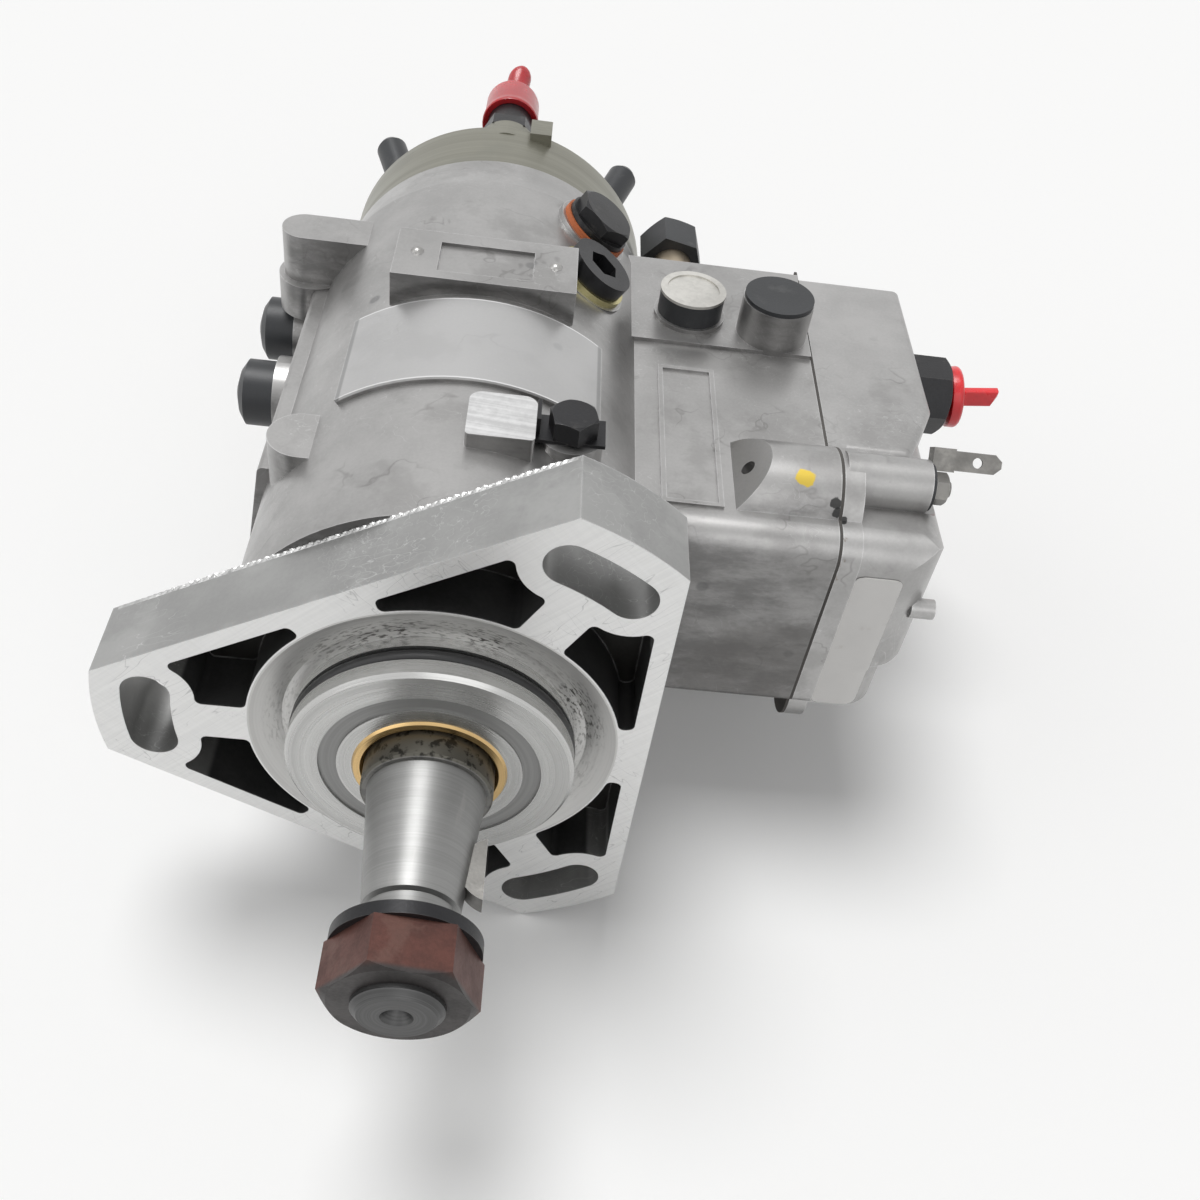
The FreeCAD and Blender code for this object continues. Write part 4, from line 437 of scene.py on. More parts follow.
coverLook = dict(castLook, color=(0.42, 0.415, 0.41), roughness=0.36, spots=[
        ((0.0914, 0.0552, 0.0284), 0.0012, darkSpot, 0.0005, 0.9),
        ((0.0908, 0.0505, 0.0262), 0.0019, brownSpot, 0.0009, 0.7),
        ((0.0910, 0.0480, 0.0228), 0.0021, brownSpot, 0.0009, 0.6),
        ((0.0907, 0.0468, 0.0185), 0.0017, brownSpot, 0.0009, 0.6)])
terminalLook = {"color": (0.19, 0.185, 0.175), "roughness": 0.38, "metallic": 0.85, "spread": 0.2, "fine": 1200.0,
    "broad": 160.0, "bump": 0.12, "edgeColor": (0.4, 0.4, 0.4), "edgeShare": 0.5, "edgeReach": 0.0003,
    "stainColor": (0.3, 0.29, 0.27), "stainShare": 0.5, "stainSize": 140.0}
headLook = {"color": (0.245, 0.24, 0.2), "roughness": 0.36, "metallic": 0.8, "spread": 0.1, "marks": "turned",
    "pitch": 900.0, "bump": 0.08, "stainColor": (0.2, 0.2, 0.17), "stainShare": 0.35, "stainSize": 40.0}
blackLook = {"color": (0.022, 0.022, 0.024), "roughness": 0.36, "metallic": 0.5, "spread": 0.3, "fine": 1600.0,
    "bump": 0.15, "edgeColor": (0.16, 0.155, 0.15), "edgeShare": 0.5, "edgeReach": 0.0003,
    "stainColor": (0.10, 0.095, 0.09), "stainShare": 0.5, "stainSize": 90.0, "stainSpread": 0.58}
plainSteelLook = {"color": (0.36, 0.355, 0.345), "roughness": 0.32, "metallic": 0.85, "spread": 0.12,
    "fine": 1200.0, "bump": 0.1, "edgeColor": (0.6, 0.6, 0.6), "edgeShare": 0.5,
    "edgeReach": 0.0003, "stainColor": (0.25, 0.24, 0.22), "stainShare": 0.4, "stainSize": 120.0}
rubberLook = {"color": (0.022, 0.022, 0.023), "roughness": 0.42, "metallic": 0.0, "spread": 0.25, "fine": 2200.0,
    "bump": 0.1}
sealRingLook = {"color": (0.3, 0.3, 0.295), "roughness": 0.4, "metallic": 0.5, "spread": 0.12, "marks": "turned",
    "pitch": 1500.0, "bump": 0.1}
gasketLook = {"color": (0.07, 0.065, 0.06), "roughness": 0.75, "metallic": 0.0, "spread": 0.3, "fine": 2500.0,
    "bump": 0.3}
plasticLook = {"color": (0.022, 0.024, 0.027), "roughness": 0.42, "metallic": 0.0, "spread": 0.2, "fine": 2000.0,
    "bump": 0.15, "stainColor": (0.09, 0.09, 0.09), "stainShare": 0.35, "stainSize": 110.0,
    "stainSpread": 0.6}
redLook = {"color": (0.78, 0.014, 0.024), "roughness": 0.3, "metallic": 0.0, "spread": 0.15, "fine": 500.0,
    "broad": 90.0, "bump": 0.08, "sockets": {
        "Subsurface Weight": 0.5, "Subsurface Radius": (1.0, 0.2, 0.1), "Subsurface Scale": 0.002,
        "Coat Weight": 0.3, "Coat Roughness": 0.2}}
zincLook = {"color": (0.55, 0.5, 0.26), "roughness": 0.35, "spread": 0.15, "fine": 1200.0, "bump": 0.1}
orangeLook = {"color": (0.52, 0.14, 0.045), "roughness": 0.6, "metallic": 0.0, "spread": 0.2, "fine": 1500.0,
    "bump": 0.15}
tanLook = {"color": (0.44, 0.37, 0.28), "roughness": 0.38, "spread": 0.15, "fine": 900.0, "bump": 0.12,
    "stainColor": (0.2, 0.16, 0.12), "stainShare": 0.5, "stainSize": 120.0}
bronzeLook = {"color": (0.62, 0.43, 0.2), "roughness": 0.3, "spread": 0.12, "marks": "turned", "pitch": 2400.0,
    "bump": 0.12}
copperLook = {"color": (0.6, 0.3, 0.14), "roughness": 0.35, "spread": 0.2, "marks": "turned", "pitch": 1800.0,
    "bump": 0.3}
turnedLook = {"color": (0.52, 0.52, 0.51), "roughness": 0.27, "metallic": 0.85, "spread": 0.12,
    "marks": "turned", "pitch": 2600.0, "bump": 0.12}
cupLook = {"color": (0.56, 0.55, 0.52), "roughness": 0.4, "spread": 0.2, "fine": 900.0, "bump": 0.2, "broad": 120.0,
    "stainColor": (0.44, 0.43, 0.4), "stainShare": 0.3, "stainSize": 160.0, "stainSpread": 0.55}

plainFinishes = [
    ("castHousing", housingLook, ["pump_housing"]),
    ("castCover", coverLook, ["governor_cover"]),
    ("headSteel", headLook, ["hydraulic_head", "end_plate"]),
    ("blackOxide", blackLook, ["front_hex_plug", "socket_plug", "head_plug", "locating_screws", "socket_screws",
        "inlet_fitting", "return_connector", "shaft_washer", "regulator_plug",
        "plug_lock_plate"]),
    ("plainSteel", plainSteelLook, ["governor_cage", "governor_weights", "thrust_sleeve", "governor_arm",
        "governor_linkage", "governor_spring", "shutoff_armature",
        "discharge_fittings", "window_cover", "window_screws", "throttle_lever",
        "throttle_nut", "nameplate_rivets", "hinge_pins", "throttle_shaft"]),
    ("terminalSteel", terminalLook, ["terminal_nut", "terminal_stud", "terminal_blade", "shaft_key"]),
    ("blackRubber", rubberLook, ["o_rings", "shaft_seals"]),
    ("sealRing", sealRingLook, ["face_seal_ring"]),
    ("gasketFibre", gasketLook, ["cover_gasket"]),
    ("blackPlastic", plasticLook, ["side_caps", "rear_port_cap", "bore_sleeve", "discharge_caps",
        "terminal_insulator", "second_bore_cap"]),
    ("redPlastic", redLook, ["inlet_plug", "return_plug"]),
    ("yellowZinc", zincLook, ["socket_plug_washer"]),
    ("orangeSeal", orangeLook, ["head_plug_seal"]),
    ("tanPlate", tanLook, ["rear_port_fitting"]),
    ("bronzeBush", bronzeLook, ["shaft_bush"]),
    ("coilWinding", copperLook, ["shutoff_coil"]),
    ("turnedSteel", turnedLook, ["pilot_hub", "pump_liner", "distributor_rotor", "rotor_elements", "cam_ring",
        "metering_valve"]),
    ("boreCup", cupLook, ["bore_cup"]),
]
for finishName, finishLook, wearers in plainFinishes:
    wear(wearers, markedFinish(finishName, finishLook))
print("plain finishes:", len(plainFinishes))


# flange: milled front, sawn sides, cast pockets with painted shade: near black floors and dark grey inner walls

flangeLook = {
    "milled": (0.88, 0.88, 0.87), "milledDark": 0.93, "milledRoughness": 0.34, "frontDepth": 0.0004,
    "milledMarks": {"Pitch": 1300.0, "Turn": (0.0, 0.75, 0.0)}, "marksRange": (0.35, 0.65), "flatFrom": (0.8, 0.95),
    "scratch": {"Length": 60.0, "Width": 0.008}, "scratchShare": 0.5, "scratchColor": (0.3, 0.3, 0.3),
    "grain": {"Fine": 1100.0, "Broad": 60.0, "Pits": 340.0}, "grainRange": (0.3, 0.7),
    "side": (0.33, 0.33, 0.325), "sideTones": (0.9, 1.1), "sideRoughness": 0.4, "sideAngles": (0.0, 120.0, 240.0),
    "cloud": {"Size": 38.0, "Spread": 0.5}, "cloudShare": 0.4, "cloudTone": 1.4,
    # the pocket colour and the pocket walls' greys are painted shade for the recesses
    "pocket": (0.026, 0.025, 0.023), "pocketTones": (0.6, 1.6), "pocketRoughness": 0.42, "pocketWall": 0.0445,
    "wallSoft": 0.0005, "pocketWallShade": (0.06, 0.11), "slotRadius": 0.0545, "slotSoft": 0.001, "rear": 0.0185,
    "rearSoft": (0.0008, 0.0004), "dish": (0.66, 0.655, 0.64), "dishDark": 0.88, "dishRadius": 0.0405,
    "dishDepth": 0.0034, "dishSoft": 0.0002, "rings": {"Pitch": 1600.0},
    "edge": (0.75, 0.75, 0.75), "edgeReach": 0.0007, "edgeShare": 0.7, "metallic": 0.62, "bump": 0.12,
    "bumpDepth": 0.0001}
# marks scored into the dish near the face seal, strongest on its upper side
scoreLook = {"color": (0.06, 0.055, 0.05), "inside": (0.0055, 0.0015), "turn": 0.008, "noise": (1900.0, 3.0, 0.6),
    "range": (0.5, 0.62), "lean": 0.4, "upper": (0.004, 0.03, 0.25, 1.0), "patch": (60.0, 1.0),
    "patchRange": (0.36, 0.5, 0.25, 0.95)}


def addScores(tree, place, parts, radius, color, dishRadius, look):
    nearSeal = ramp(tree, radius, dishRadius - look["inside"][0], dishRadius - look["inside"][1], 1.0, 0.0)
    turn = times(tree, calc(tree, "ARCTAN2", parts[2], parts[0]), look["turn"])
    around = addNode(tree, "ShaderNodeCombineXYZ", {0: radius, 1: turn}).outputs[0]
    scored = times(tree, ramp(tree, noise(tree, around, *look["noise"]), *look["range"]), nearSeal)
    upper = ramp(tree, calc(tree, "ADD", times(tree, parts[0], look["lean"]), parts[2]), *look["upper"])
    patchy = times(tree, ramp(tree, noise(tree, place, *look["patch"]), *look["patchRange"]), upper)
    return blendColor(tree, times(tree, scored, patchy), color, look["color"])


def flangeFinish(look):
    material, tree, place = startFinish("flangeMilled")
    parts = splitXyz(tree, place)
    radius = axisDistance(tree, parts)
    marks = useGroup(tree, milledGroup, {"Vector": place, **look["milledMarks"]})
    rings = useGroup(tree, turnedGroup, {"Vector": place, **look["rings"]})
    grain = useGroup(tree, grainGroup, {"Vector": place, **look["grain"]})
    scratch = useGroup(tree, scratchGroup, {"Vector": place, **look["scratch"]})["Mask"]
    scratched = times(tree, scratch, look["scratchShare"])

    front = ramp(tree, parts[1], look["frontDepth"], look["frontDepth"] * 2.0, 1.0, 0.0)
    flat = ramp(tree, calc(tree, "ABSOLUTE", facingY(tree)), *look["flatFrom"])
    face = times(tree, front, flat)
    inDish = times(tree, ramp(tree, radius, look["dishRadius"], look["dishRadius"] + look["dishSoft"], 1.0, 0.0),
                   ramp(tree, parts[1], look["dishDepth"], look["dishDepth"] + look["dishSoft"], 1.0, 0.0))
    milled = twoTone(tree, marks["Tone"], look["marksRange"], look["milled"], look["milledDark"])
    milled = blendColor(tree, scratched, milled, look["scratchColor"])
    dish = twoTone(tree, rings["Tone"], look["marksRange"], look["dish"], look["dishDark"])
    dish = addScores(tree, place, parts, radius, dish, look["dishRadius"], scoreLook)

    side = twoTone(tree, grain["Tone"], look["grainRange"], look["side"], *look["sideTones"])
    side = paintMask(tree, side, stainGroup, {"Vector": place, **look["cloud"]}, look["cloudShare"],
                     shade(look["side"], look["cloudTone"]))
    side = blendColor(tree, scratched, side, look["edge"])

    # a pocket lies nearer the axis than each outer side and farther out than the slots' own circle
    outward = None
    for turned in look["sideAngles"]:
        a = math.radians(turned)
        reach = vectorCalc(tree, "DOT_PRODUCT", place, (math.cos(a), 0.0, math.sin(a)))
        outward = reach if outward is None else calc(tree, "MAXIMUM", outward, reach)
    wallAt, slotAt = look["pocketWall"], look["slotRadius"]
    inPocket = times(tree, ramp(tree, outward, wallAt, wallAt + look["wallSoft"], 1.0, 0.0),
                     ramp(tree, radius, slotAt, slotAt + look["slotSoft"], 1.0, 0.0))
    # painted shade: the pockets' inner walls dark grey and their flat floors nearly black
    wall = ramp(tree, grain["Tone"], *look["grainRange"], *look["pocketWallShade"])
    pocketWallShadeColor = addNode(tree, "ShaderNodeCombineColor", {0: wall, 1: wall, 2: wall}).outputs[0]
    side = blendColor(tree, inPocket, side, pocketWallShadeColor)
    pocket = twoTone(tree, grain["Tone"], look["grainRange"], look["pocket"], *look["pocketTones"])
    sunkFrom, sunkTo = (look["rear"] - soft for soft in look["rearSoft"])
    back = blendColor(tree, times(tree, flat, ramp(tree, parts[1], sunkFrom, sunkTo, 1.0, 0.0)), side, pocket)

    color = blendColor(tree, inDish, blendColor(tree, face, back, milled), dish)
    # lighter edges: partly wear, partly a painted highlight
    color = paintMask(tree, color, edgeGroup, {"Vector": place, "Reach": look["edgeReach"]}, look["edgeShare"],
                      look["edge"])
    roughBack = ramp(tree, flat, 0.0, 1.0, look["sideRoughness"], look["pocketRoughness"], "LINEAR")
    rough = mixNumber(tree, calc(tree, "MAXIMUM", face, inDish), roughBack, look["milledRoughness"])
    height = mixNumber(tree, face, grain["Height"], marks["Height"])
    endFinish(tree, color, rough, height, look)
    return material


wear(["mounting_flange"], flangeFinish(flangeLook))


# drive shaft: dark journal, ground taper, dark threaded end

shaftLook = {"ground": (0.3, 0.3, 0.295), "groundDark": 0.85, "groundRoughness": 0.42, "ringsRange": (0.35, 0.65),
    "journal": (0.11, 0.105, 0.09), "journalDark": 0.25, "journalRoughness": 0.45, "taperBack": -0.015,
    "taperSoft": 0.0003, "end": (0.1, 0.1, 0.1), "endTones": (0.8, 1.2), "nutBack": -0.052,
    "nutSoft": 0.0005, "rings": {"Pitch": 3000.0}, "soot": {"Size": 420.0, "Spread": 0.5},
    "streakStretch": (1.0, 0.12, 1.0), "streakSize": 420.0, "streakRange": (0.62, 0.75, 0.0, 0.4),
    "streak": (0.35, 0.34, 0.33), "metallic": 0.9, "bump": 0.1, "bumpDepth": 0.0001}


def shaftFinish(look):
    material, tree, place = startFinish("shaftSteel")
    along = splitXyz(tree, place)[1]
    rings = useGroup(tree, turnedGroup, {"Vector": place, **look["rings"]})
    soot = useGroup(tree, stainGroup, {"Vector": place, **look["soot"]})["Mask"]
    streaks = noise(tree, vectorCalc(tree, "MULTIPLY", place, look["streakStretch"]), look["streakSize"])
    ground = twoTone(tree, rings["Tone"], look["ringsRange"], look["ground"], look["groundDark"])
    ground = blendColor(tree, ramp(tree, streaks, *look["streakRange"]), ground, look["streak"])
    journal = blendColor(tree, soot, look["journal"], shade(look["journal"], look["journalDark"]))
    end = twoTone(tree, rings["Tone"], look["ringsRange"], look["end"], *look["endTones"])
    back, backSoft, tip, tipSoft = look["taperBack"], look["taperSoft"], look["nutBack"], look["nutSoft"]
    isBack = ramp(tree, along, back - backSoft, back + backSoft)
    isEnd = ramp(tree, along, tip - tipSoft, tip + tipSoft, 1.0, 0.0)
    color = blendColor(tree, isEnd, blendColor(tree, isBack, ground, journal), end)
    rough = ramp(tree, isBack, 0.0, 1.0, look["groundRoughness"], look["journalRoughness"], "LINEAR")
    endFinish(tree, color, rough, rings["Height"], look)
    return material


wear(["drive_shaft"], shaftFinish(shaftLook))


# shaft nut: reddish brown heat colour, dark face towards the shaft's end

nutLook = {"flank": (0.085, 0.03, 0.022), "flankTones": (0.65, 1.35), "face": (0.035, 0.031, 0.03),
    "faceTones": (0.7, 1.5), "faceFrom": -0.0626, "faceTo": -0.0614, "heat": (0.13, 0.07, 0.055),
    "heatShare": 0.45, "grain": {"Fine": 1400.0, "Broad": 130.0, "Pits": 420.0}, "grainRange": (0.3, 0.7),
    "stain": {"Size": 120.0, "Spread": 0.5}, "roughnesses": (0.5, 0.36), "metallic": 0.45, "bump": 0.2,
    "bumpDepth": 0.00015}


def nutFinish(look):
    material, tree, place = startFinish("nutHeatColor")
    grain = useGroup(tree, grainGroup, {"Vector": place, **look["grain"]})
    flank = twoTone(tree, grain["Tone"], look["grainRange"], look["flank"], *look["flankTones"])
    flank = paintMask(tree, flank, stainGroup, {"Vector": place, **look["stain"]}, look["heatShare"], look["heat"])
    face = twoTone(tree, grain["Tone"], look["grainRange"], look["face"], *look["faceTones"])
    isFace = ramp(tree, splitXyz(tree, place)[1], look["faceFrom"], look["faceTo"], 1.0, 0.0)
    rough = ramp(tree, grain["Tone"], *look["grainRange"], *look["roughnesses"])
    endFinish(tree, blendColor(tree, isFace, flank, face), rough, grain["Height"], look)
    return material


wear(["shaft_nut"], nutFinish(nutLook))
print("special finishes done")


# blank paper label, wrapped round the rounded corner of the cover

labelLook = {"x0": 0.0964, "x1": 0.1084, "z0": -0.0281, "z1": 0.0188, "face": 0.0467, "lift": 0.00012,
    "thick": 0.0001, "highX": 0.106, "highR": 0.013, "footX": 0.104, "footR": 0.010, "stepZ": -0.0132,
    "stepSoft": 0.0025, "corner": 0.0022, "across": 61, "up": 121, "paper": (0.97, 0.955, 0.93),
    "paperDark": 0.95, "fibre": {"Fine": 2600.0, "Broad": 90.0, "Pits": 500.0}, "fibreRange": (0.3, 0.7),
    "stain": {"Size": 130.0, "Spread": 0.58}, "grime": (0.6, 0.56, 0.5), "grimeShare": 0.25,
    "roughnesses": (0.55, 0.4), "metallic": 0.0, "bump": 0.05, "bumpDepth": 0.00005}


def labelFinish(look):
    material, tree, place = startFinish("labelPaper")
    fibre = useGroup(tree, grainGroup, {"Vector": place, **look["fibre"]})
    color = twoTone(tree, fibre["Tone"], look["fibreRange"], look["paper"], look["paperDark"])
    color = paintMask(tree, color, stainGroup, {"Vector": place, **look["stain"]}, look["grimeShare"], look["grime"])
    rough = ramp(tree, fibre["Tone"], *look["fibreRange"], *look["roughnesses"])
    endFinish(tree, color, rough, fibre["Height"], look)
    return material


def makeLabel(look):
    # surface: u runs round the corner in X, v up in Z, and Y is the block's rounded corner less the lift;
    # below the step Y passes smoothly to the foot's own corner, and each row's ends are drawn in at the label's corners
    u, v = np.meshgrid(np.linspace(0.0, 1.0, look["across"]), np.linspace(0.0, 1.0, look["up"]))
    z = look["z0"] + v * (look["z1"] - look["z0"])
    edgeGap = np.minimum(z - look["z0"], look["z1"] - z)
    inside = np.clip(look["corner"] - edgeGap, 0.0, look["corner"])
    draw = look["corner"] - np.sqrt(np.maximum(look["corner"] ** 2 - inside ** 2, 0.0))
    x = look["x0"] + draw + u * (look["x1"] - look["x0"] - 2.0 * draw)

    def cornerY(centreX, radius):
        past = np.maximum(x - centreX, 0.0)
        return look["face"] + radius - np.sqrt(radius ** 2 - past ** 2)

    t = np.clip((look["stepZ"] - z) / look["stepSoft"], 0.0, 1.0)
    t = t * t * (3.0 - 2.0 * t)
    y = (1.0 - t) * cornerY(look["highX"], look["highR"]) + t * cornerY(look["footX"], look["footR"]) - look["lift"]
    points = np.stack([x, y, z], axis=-1).reshape(-1, 3)
    index = np.arange(look["across"] * look["up"]).reshape(look["up"], look["across"])
    faces = np.stack([index[:-1, :-1], index[:-1, 1:], index[1:, 1:], index[1:, :-1]], axis=-1).reshape(-1, 4)
    mesh = bpy.data.meshes.new("coverLabel")
    mesh.from_pydata(points.tolist(), [], faces.tolist())
    mesh.shade_smooth()
    mesh.materials.append(labelFinish(look))
    label = bpy.data.objects.new("coverLabel", mesh)
    scene.collection.objects.link(label)
    skin = label.modifiers.new("skin", "SOLIDIFY")
    skin.thickness = look["thick"]
    skin.offset = 1.0
    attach(label, "pump")


makeLabel(labelLook)
print("label placed")


# closed shells from rings of points

def closedShell(rings, first, last):
    # rings are rows of points round a path; the first and last rows close on one point each, and the faces
    # are turned outwards where the volume under them comes out negative
    rows, around, _ = rings.shape
    points = np.concatenate([np.array([first]), rings.reshape(-1, 3), np.array([last])])
    index = 1 + np.arange(rows * around).reshape(rows, around)
    beside = np.roll(index, -1, axis=1)
    one = np.stack([index[:-1], beside[:-1], beside[1:]], axis=-1).reshape(-1, 3)
    two = np.stack([index[:-1], beside[1:], index[1:]], axis=-1).reshape(-1, 3)
    head = np.stack([np.zeros(around, int), beside[0], index[0]], axis=-1)
    tail = np.stack([np.full(around, rows * around + 1), index[-1], beside[-1]], axis=-1)
    faces = np.concatenate([head, one, two, tail])
    a, b, c = (points[faces[:, k]] for k in range(3))
    if np.einsum("ij,ij->i", a, np.cross(b, c)).sum() < 0.0:
        faces = faces[:, ::-1]
    return points, faces


def makeShellPiece(name, shells, material, body, sharp=40.0):
    points, faces, count = [], [], 0
    for shellPoints, shellFaces in shells:
        points.append(shellPoints)
        faces.append(shellFaces + count)
        count += len(shellPoints)
    mesh = bpy.data.meshes.new(name)
    mesh.from_pydata(np.concatenate(points).tolist(), [], np.concatenate(faces).tolist())
    mesh.shade_smooth()
    mesh.set_sharp_from_angle(angle=math.radians(sharp))
    mesh.materials.append(material)
    piece = bpy.data.objects.new(name, mesh)
    scene.collection.objects.link(piece)
    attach(piece, body)
    return piece


def sweptRings(path, side, up, halfSide, halfUp, power=2.0, around=48):
    # at each path point a superellipse: side * halfSide * |cos|^(2/power) and up * halfUp * |sin|^(2/power)
    turn = np.linspace(0.0, 2.0 * math.pi, around, endpoint=False)
    a = np.sign(np.cos(turn)) * np.abs(np.cos(turn)) ** (2.0 / power)
    b = np.sign(np.sin(turn)) * np.abs(np.sin(turn)) ** (2.0 / power)
    return (path[:, None, :] + side[:, None, :] * (halfSide[:, None] * a)[..., None]
            + up[:, None, :] * (halfUp[:, None] * b)[..., None])


def latheRings(centre, axis, profile, around=96):
    # a profile of (distance from the axis, place along it) carried once round the axis
    axis = np.array(axis) / np.linalg.norm(axis)
    side = np.cross(axis, (0.0, 0.0, 1.0) if abs(axis[2]) < 0.9 else (1.0, 0.0, 0.0))
    side /= np.linalg.norm(side)
    up = np.cross(axis, side)
    turn = np.linspace(0.0, 2.0 * math.pi, around, endpoint=False)
    spoke = np.cos(turn)[:, None] * side + np.sin(turn)[:, None] * up
    profile = np.array(profile)
    return np.array(centre) + profile[:, None, 1:2] * axis + profile[:, None, 0:1] * spoke[None]


def roundedEnd(radius, top, corner, steps=9):
    turn = np.linspace(0.0, math.pi / 2.0, steps)
    return [(radius - corner + corner * math.cos(t), top - corner + corner * math.sin(t)) for t in turn]


# red shipping cap on the inlet: rounded crown, flared skirt, bent pull tip

inletCapLook = {"z": 0.037, "y": 0.2235, "radius": 0.0086, "flare": 0.0091, "crown": 0.0021, "height": 0.0158,
    "bore": 0.0073, "boreDepth": 0.0042, "hub": 0.001, "bevel": 0.0002, "skirtEnd": 0.0012,
    "neckOut": 0.0001, "neckAt": 0.0026, "wallAt": 0.004, "dome": 0.0001, "tipSunk": 0.002,
    "tipR": 0.0038, "tipFlat": 0.9, "tipEnd": (0.0018, 0.2535, 0.0428), "tipRows": 22,
    "roundFrom": 0.78, "roundOver": 0.222, "pole": 0.00002}


def makeInletCap(look, material):
    bore, flare, bevel, top = look["bore"], look["flare"], look["bevel"], look["height"] + look["dome"]
    profile = [(look["hub"], look["boreDepth"]), (bore, look["boreDepth"]), (bore, 0.0), (flare - bevel, -bevel),
               (flare, bevel), (flare, look["skirtEnd"]), (look["radius"] + look["neckOut"], look["neckAt"]),
               (look["radius"], look["wallAt"])]
    profile += roundedEnd(look["radius"], look["height"], look["crown"])
    profile.append((look["hub"], top))
    centre = np.array([0.0, look["y"], look["z"]])
    crown = closedShell(latheRings(centre, (0.0, 1.0, 0.0), profile), centre + (0.0, look["boreDepth"], 0.0),
                        centre + (0.0, top, 0.0))
    # the tip's middle line runs back from the crown and bends up and aside with the square of its length
    s = np.linspace(0.0, 1.0, look["tipRows"])
    start = centre + (0.0, look["height"] - look["tipSunk"], 0.0)
    reach = np.array(look["tipEnd"]) - start
    path = start + np.stack([reach[0] * s ** 2, reach[1] * s, reach[2] * s ** 2], axis=-1)
    past = np.clip((s - look["roundFrom"]) / look["roundOver"], 0.0, 1.0)
    size = look["tipR"] * np.sqrt(np.clip(1.0 - past ** 2, 0.0, 1.0))
    side = np.tile((1.0, 0.0, 0.0), (len(s), 1))
    up = np.tile((0.0, 0.0, 1.0), (len(s), 1))
    tip = closedShell(sweptRings(path, side, up, size, size * look["tipFlat"]), path[0],
                      path[-1] + (0.0, look["pole"], 0.0))
    cap = makeShellPiece("inletCap", [crown, tip], material, "pump")
    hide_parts("inlet_plug")


# red shipping plug in the return connector: round flange, slightly tilted, with a flat slanted grip

returnCapLook = {"seat": (0.1345, 0.133, 0.014), "tilt": 7.0, "radius": 0.0089, "thick": 0.0036, "corner": 0.0014,
    "stem": 0.0046, "stemDepth": 0.005, "stemBevel": (0.0006, 0.0008), "hub": 0.0004, "neck": 0.0002,
    "underIn": 0.0009, "underRim": (0.0002, 0.0003), "lift": 0.0011, "domeR": 0.004, "dome": 0.0003,
    "domeTop": 0.0004, "gripHalf": 0.0026, "gripThick": 0.0013, "gripLow": 0.0140, "gripHigh": 0.0158,
    "gripSunk": 0.001, "gripRows": 16, "gripPower": 7.0, "roundFrom": 0.97, "roundOver": 0.031,
    "roundLeast": 0.05, "pole": 0.00002}


def makeReturnCap(look, material):
    a = math.radians(look["tilt"])
    axis, up = np.array([math.cos(a), 0.0, math.sin(a)]), np.array([-math.sin(a), 0.0, math.cos(a)])
    centre = np.array(look["seat"]) + axis * look["lift"]
    stem, depth, radius, thick = look["stem"], look["stemDepth"], look["radius"], look["thick"]
    (bevelIn, bevelUp), (rimIn, rimUp) = look["stemBevel"], look["underRim"]
    profile = [(look["hub"], -depth), (stem - bevelIn, -depth), (stem, -depth + bevelUp), (stem, -look["neck"]),
               (radius - look["underIn"], 0.0), (radius - rimIn, rimUp)]
    profile += roundedEnd(radius, thick, look["corner"])
    profile.append((look["domeR"], thick + look["dome"]))
    flange = closedShell(latheRings(centre, axis, profile), centre - axis * depth,
                         centre + axis * (thick + look["domeTop"]))
    # the grip is a flat bar with rounded edges: its rows lean towards the end, which is slanted
    s = np.linspace(0.0, 1.0, look["gripRows"])
    past = np.clip((s - look["roundFrom"]) / look["roundOver"], 0.0, 1.0)
    size = np.sqrt(np.clip(1.0 - past ** 2, look["roundLeast"], 1.0))
    sunk, low, high = look["gripSunk"], look["gripLow"], look["gripHigh"]
    length = thick - sunk + s * (low + high - 2.0 * thick + 2.0 * sunk) / 2.0
    path = centre + length[:, None] * axis
    lean = (high - low) / (2.0 * look["gripHalf"]) * s
    rowUp = up + lean[:, None] * axis
    side = np.tile((0.0, 1.0, 0.0), (len(s), 1))
    rings = sweptRings(path, side, rowUp, look["gripThick"] * size, look["gripHalf"] * size, power=look["gripPower"])
    grip = closedShell(rings, path[0], path[-1] + axis * look["pole"])
    cap = makeShellPiece("returnCap", [flange, grip], material, "pump")
    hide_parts("return_plug")


makeInletCap(inletCapLook, markedFinish("darkRedPlastic", dict(redLook, color=(0.5, 0.022, 0.03))))
makeReturnCap(returnCapLook, bpy.data.materials["redPlastic"])
print("shipping caps placed")


# saw burr along the rear edge of the flange's upper side; back, rise and floor are the profile, point by point

burrLook = {"start": (0.0240, 0.0185, 0.06870), "end": (-0.0710, 0.0185, 0.01385), "outward": (-0.5, 0.0, 0.8660254),
    "pitch": 0.0016, "low": 0.00002, "high": 0.00072, "wide": 0.0011, "slant": 0.9, "perTooth": 8,
    "back": (-1.0, -0.8, -0.5, -0.2, 0.05, 0.2, 0.22, 0.0), "rise": (0.0, 0.35, 0.8, 1.0, 0.8, 0.2, 0.0, 0.0),
    "floor": (-0.0001, 0.0, 0.0, 0.0, 0.0, -0.0001, -0.0006, -0.0006), "crest": 0.75, "evenShare": 0.72,
    "waves": (2100.0, 830.0), "fadeIn": 0.004, "fadeOut": 0.02, "fadeLeast": 0.15,
    "finish": {"color": (0.48, 0.48, 0.475), "roughness": 0.38, "metallic": 0.8, "spread": 0.25,
        "fine": 900.0, "broad": 400.0, "bump": 0.2}}


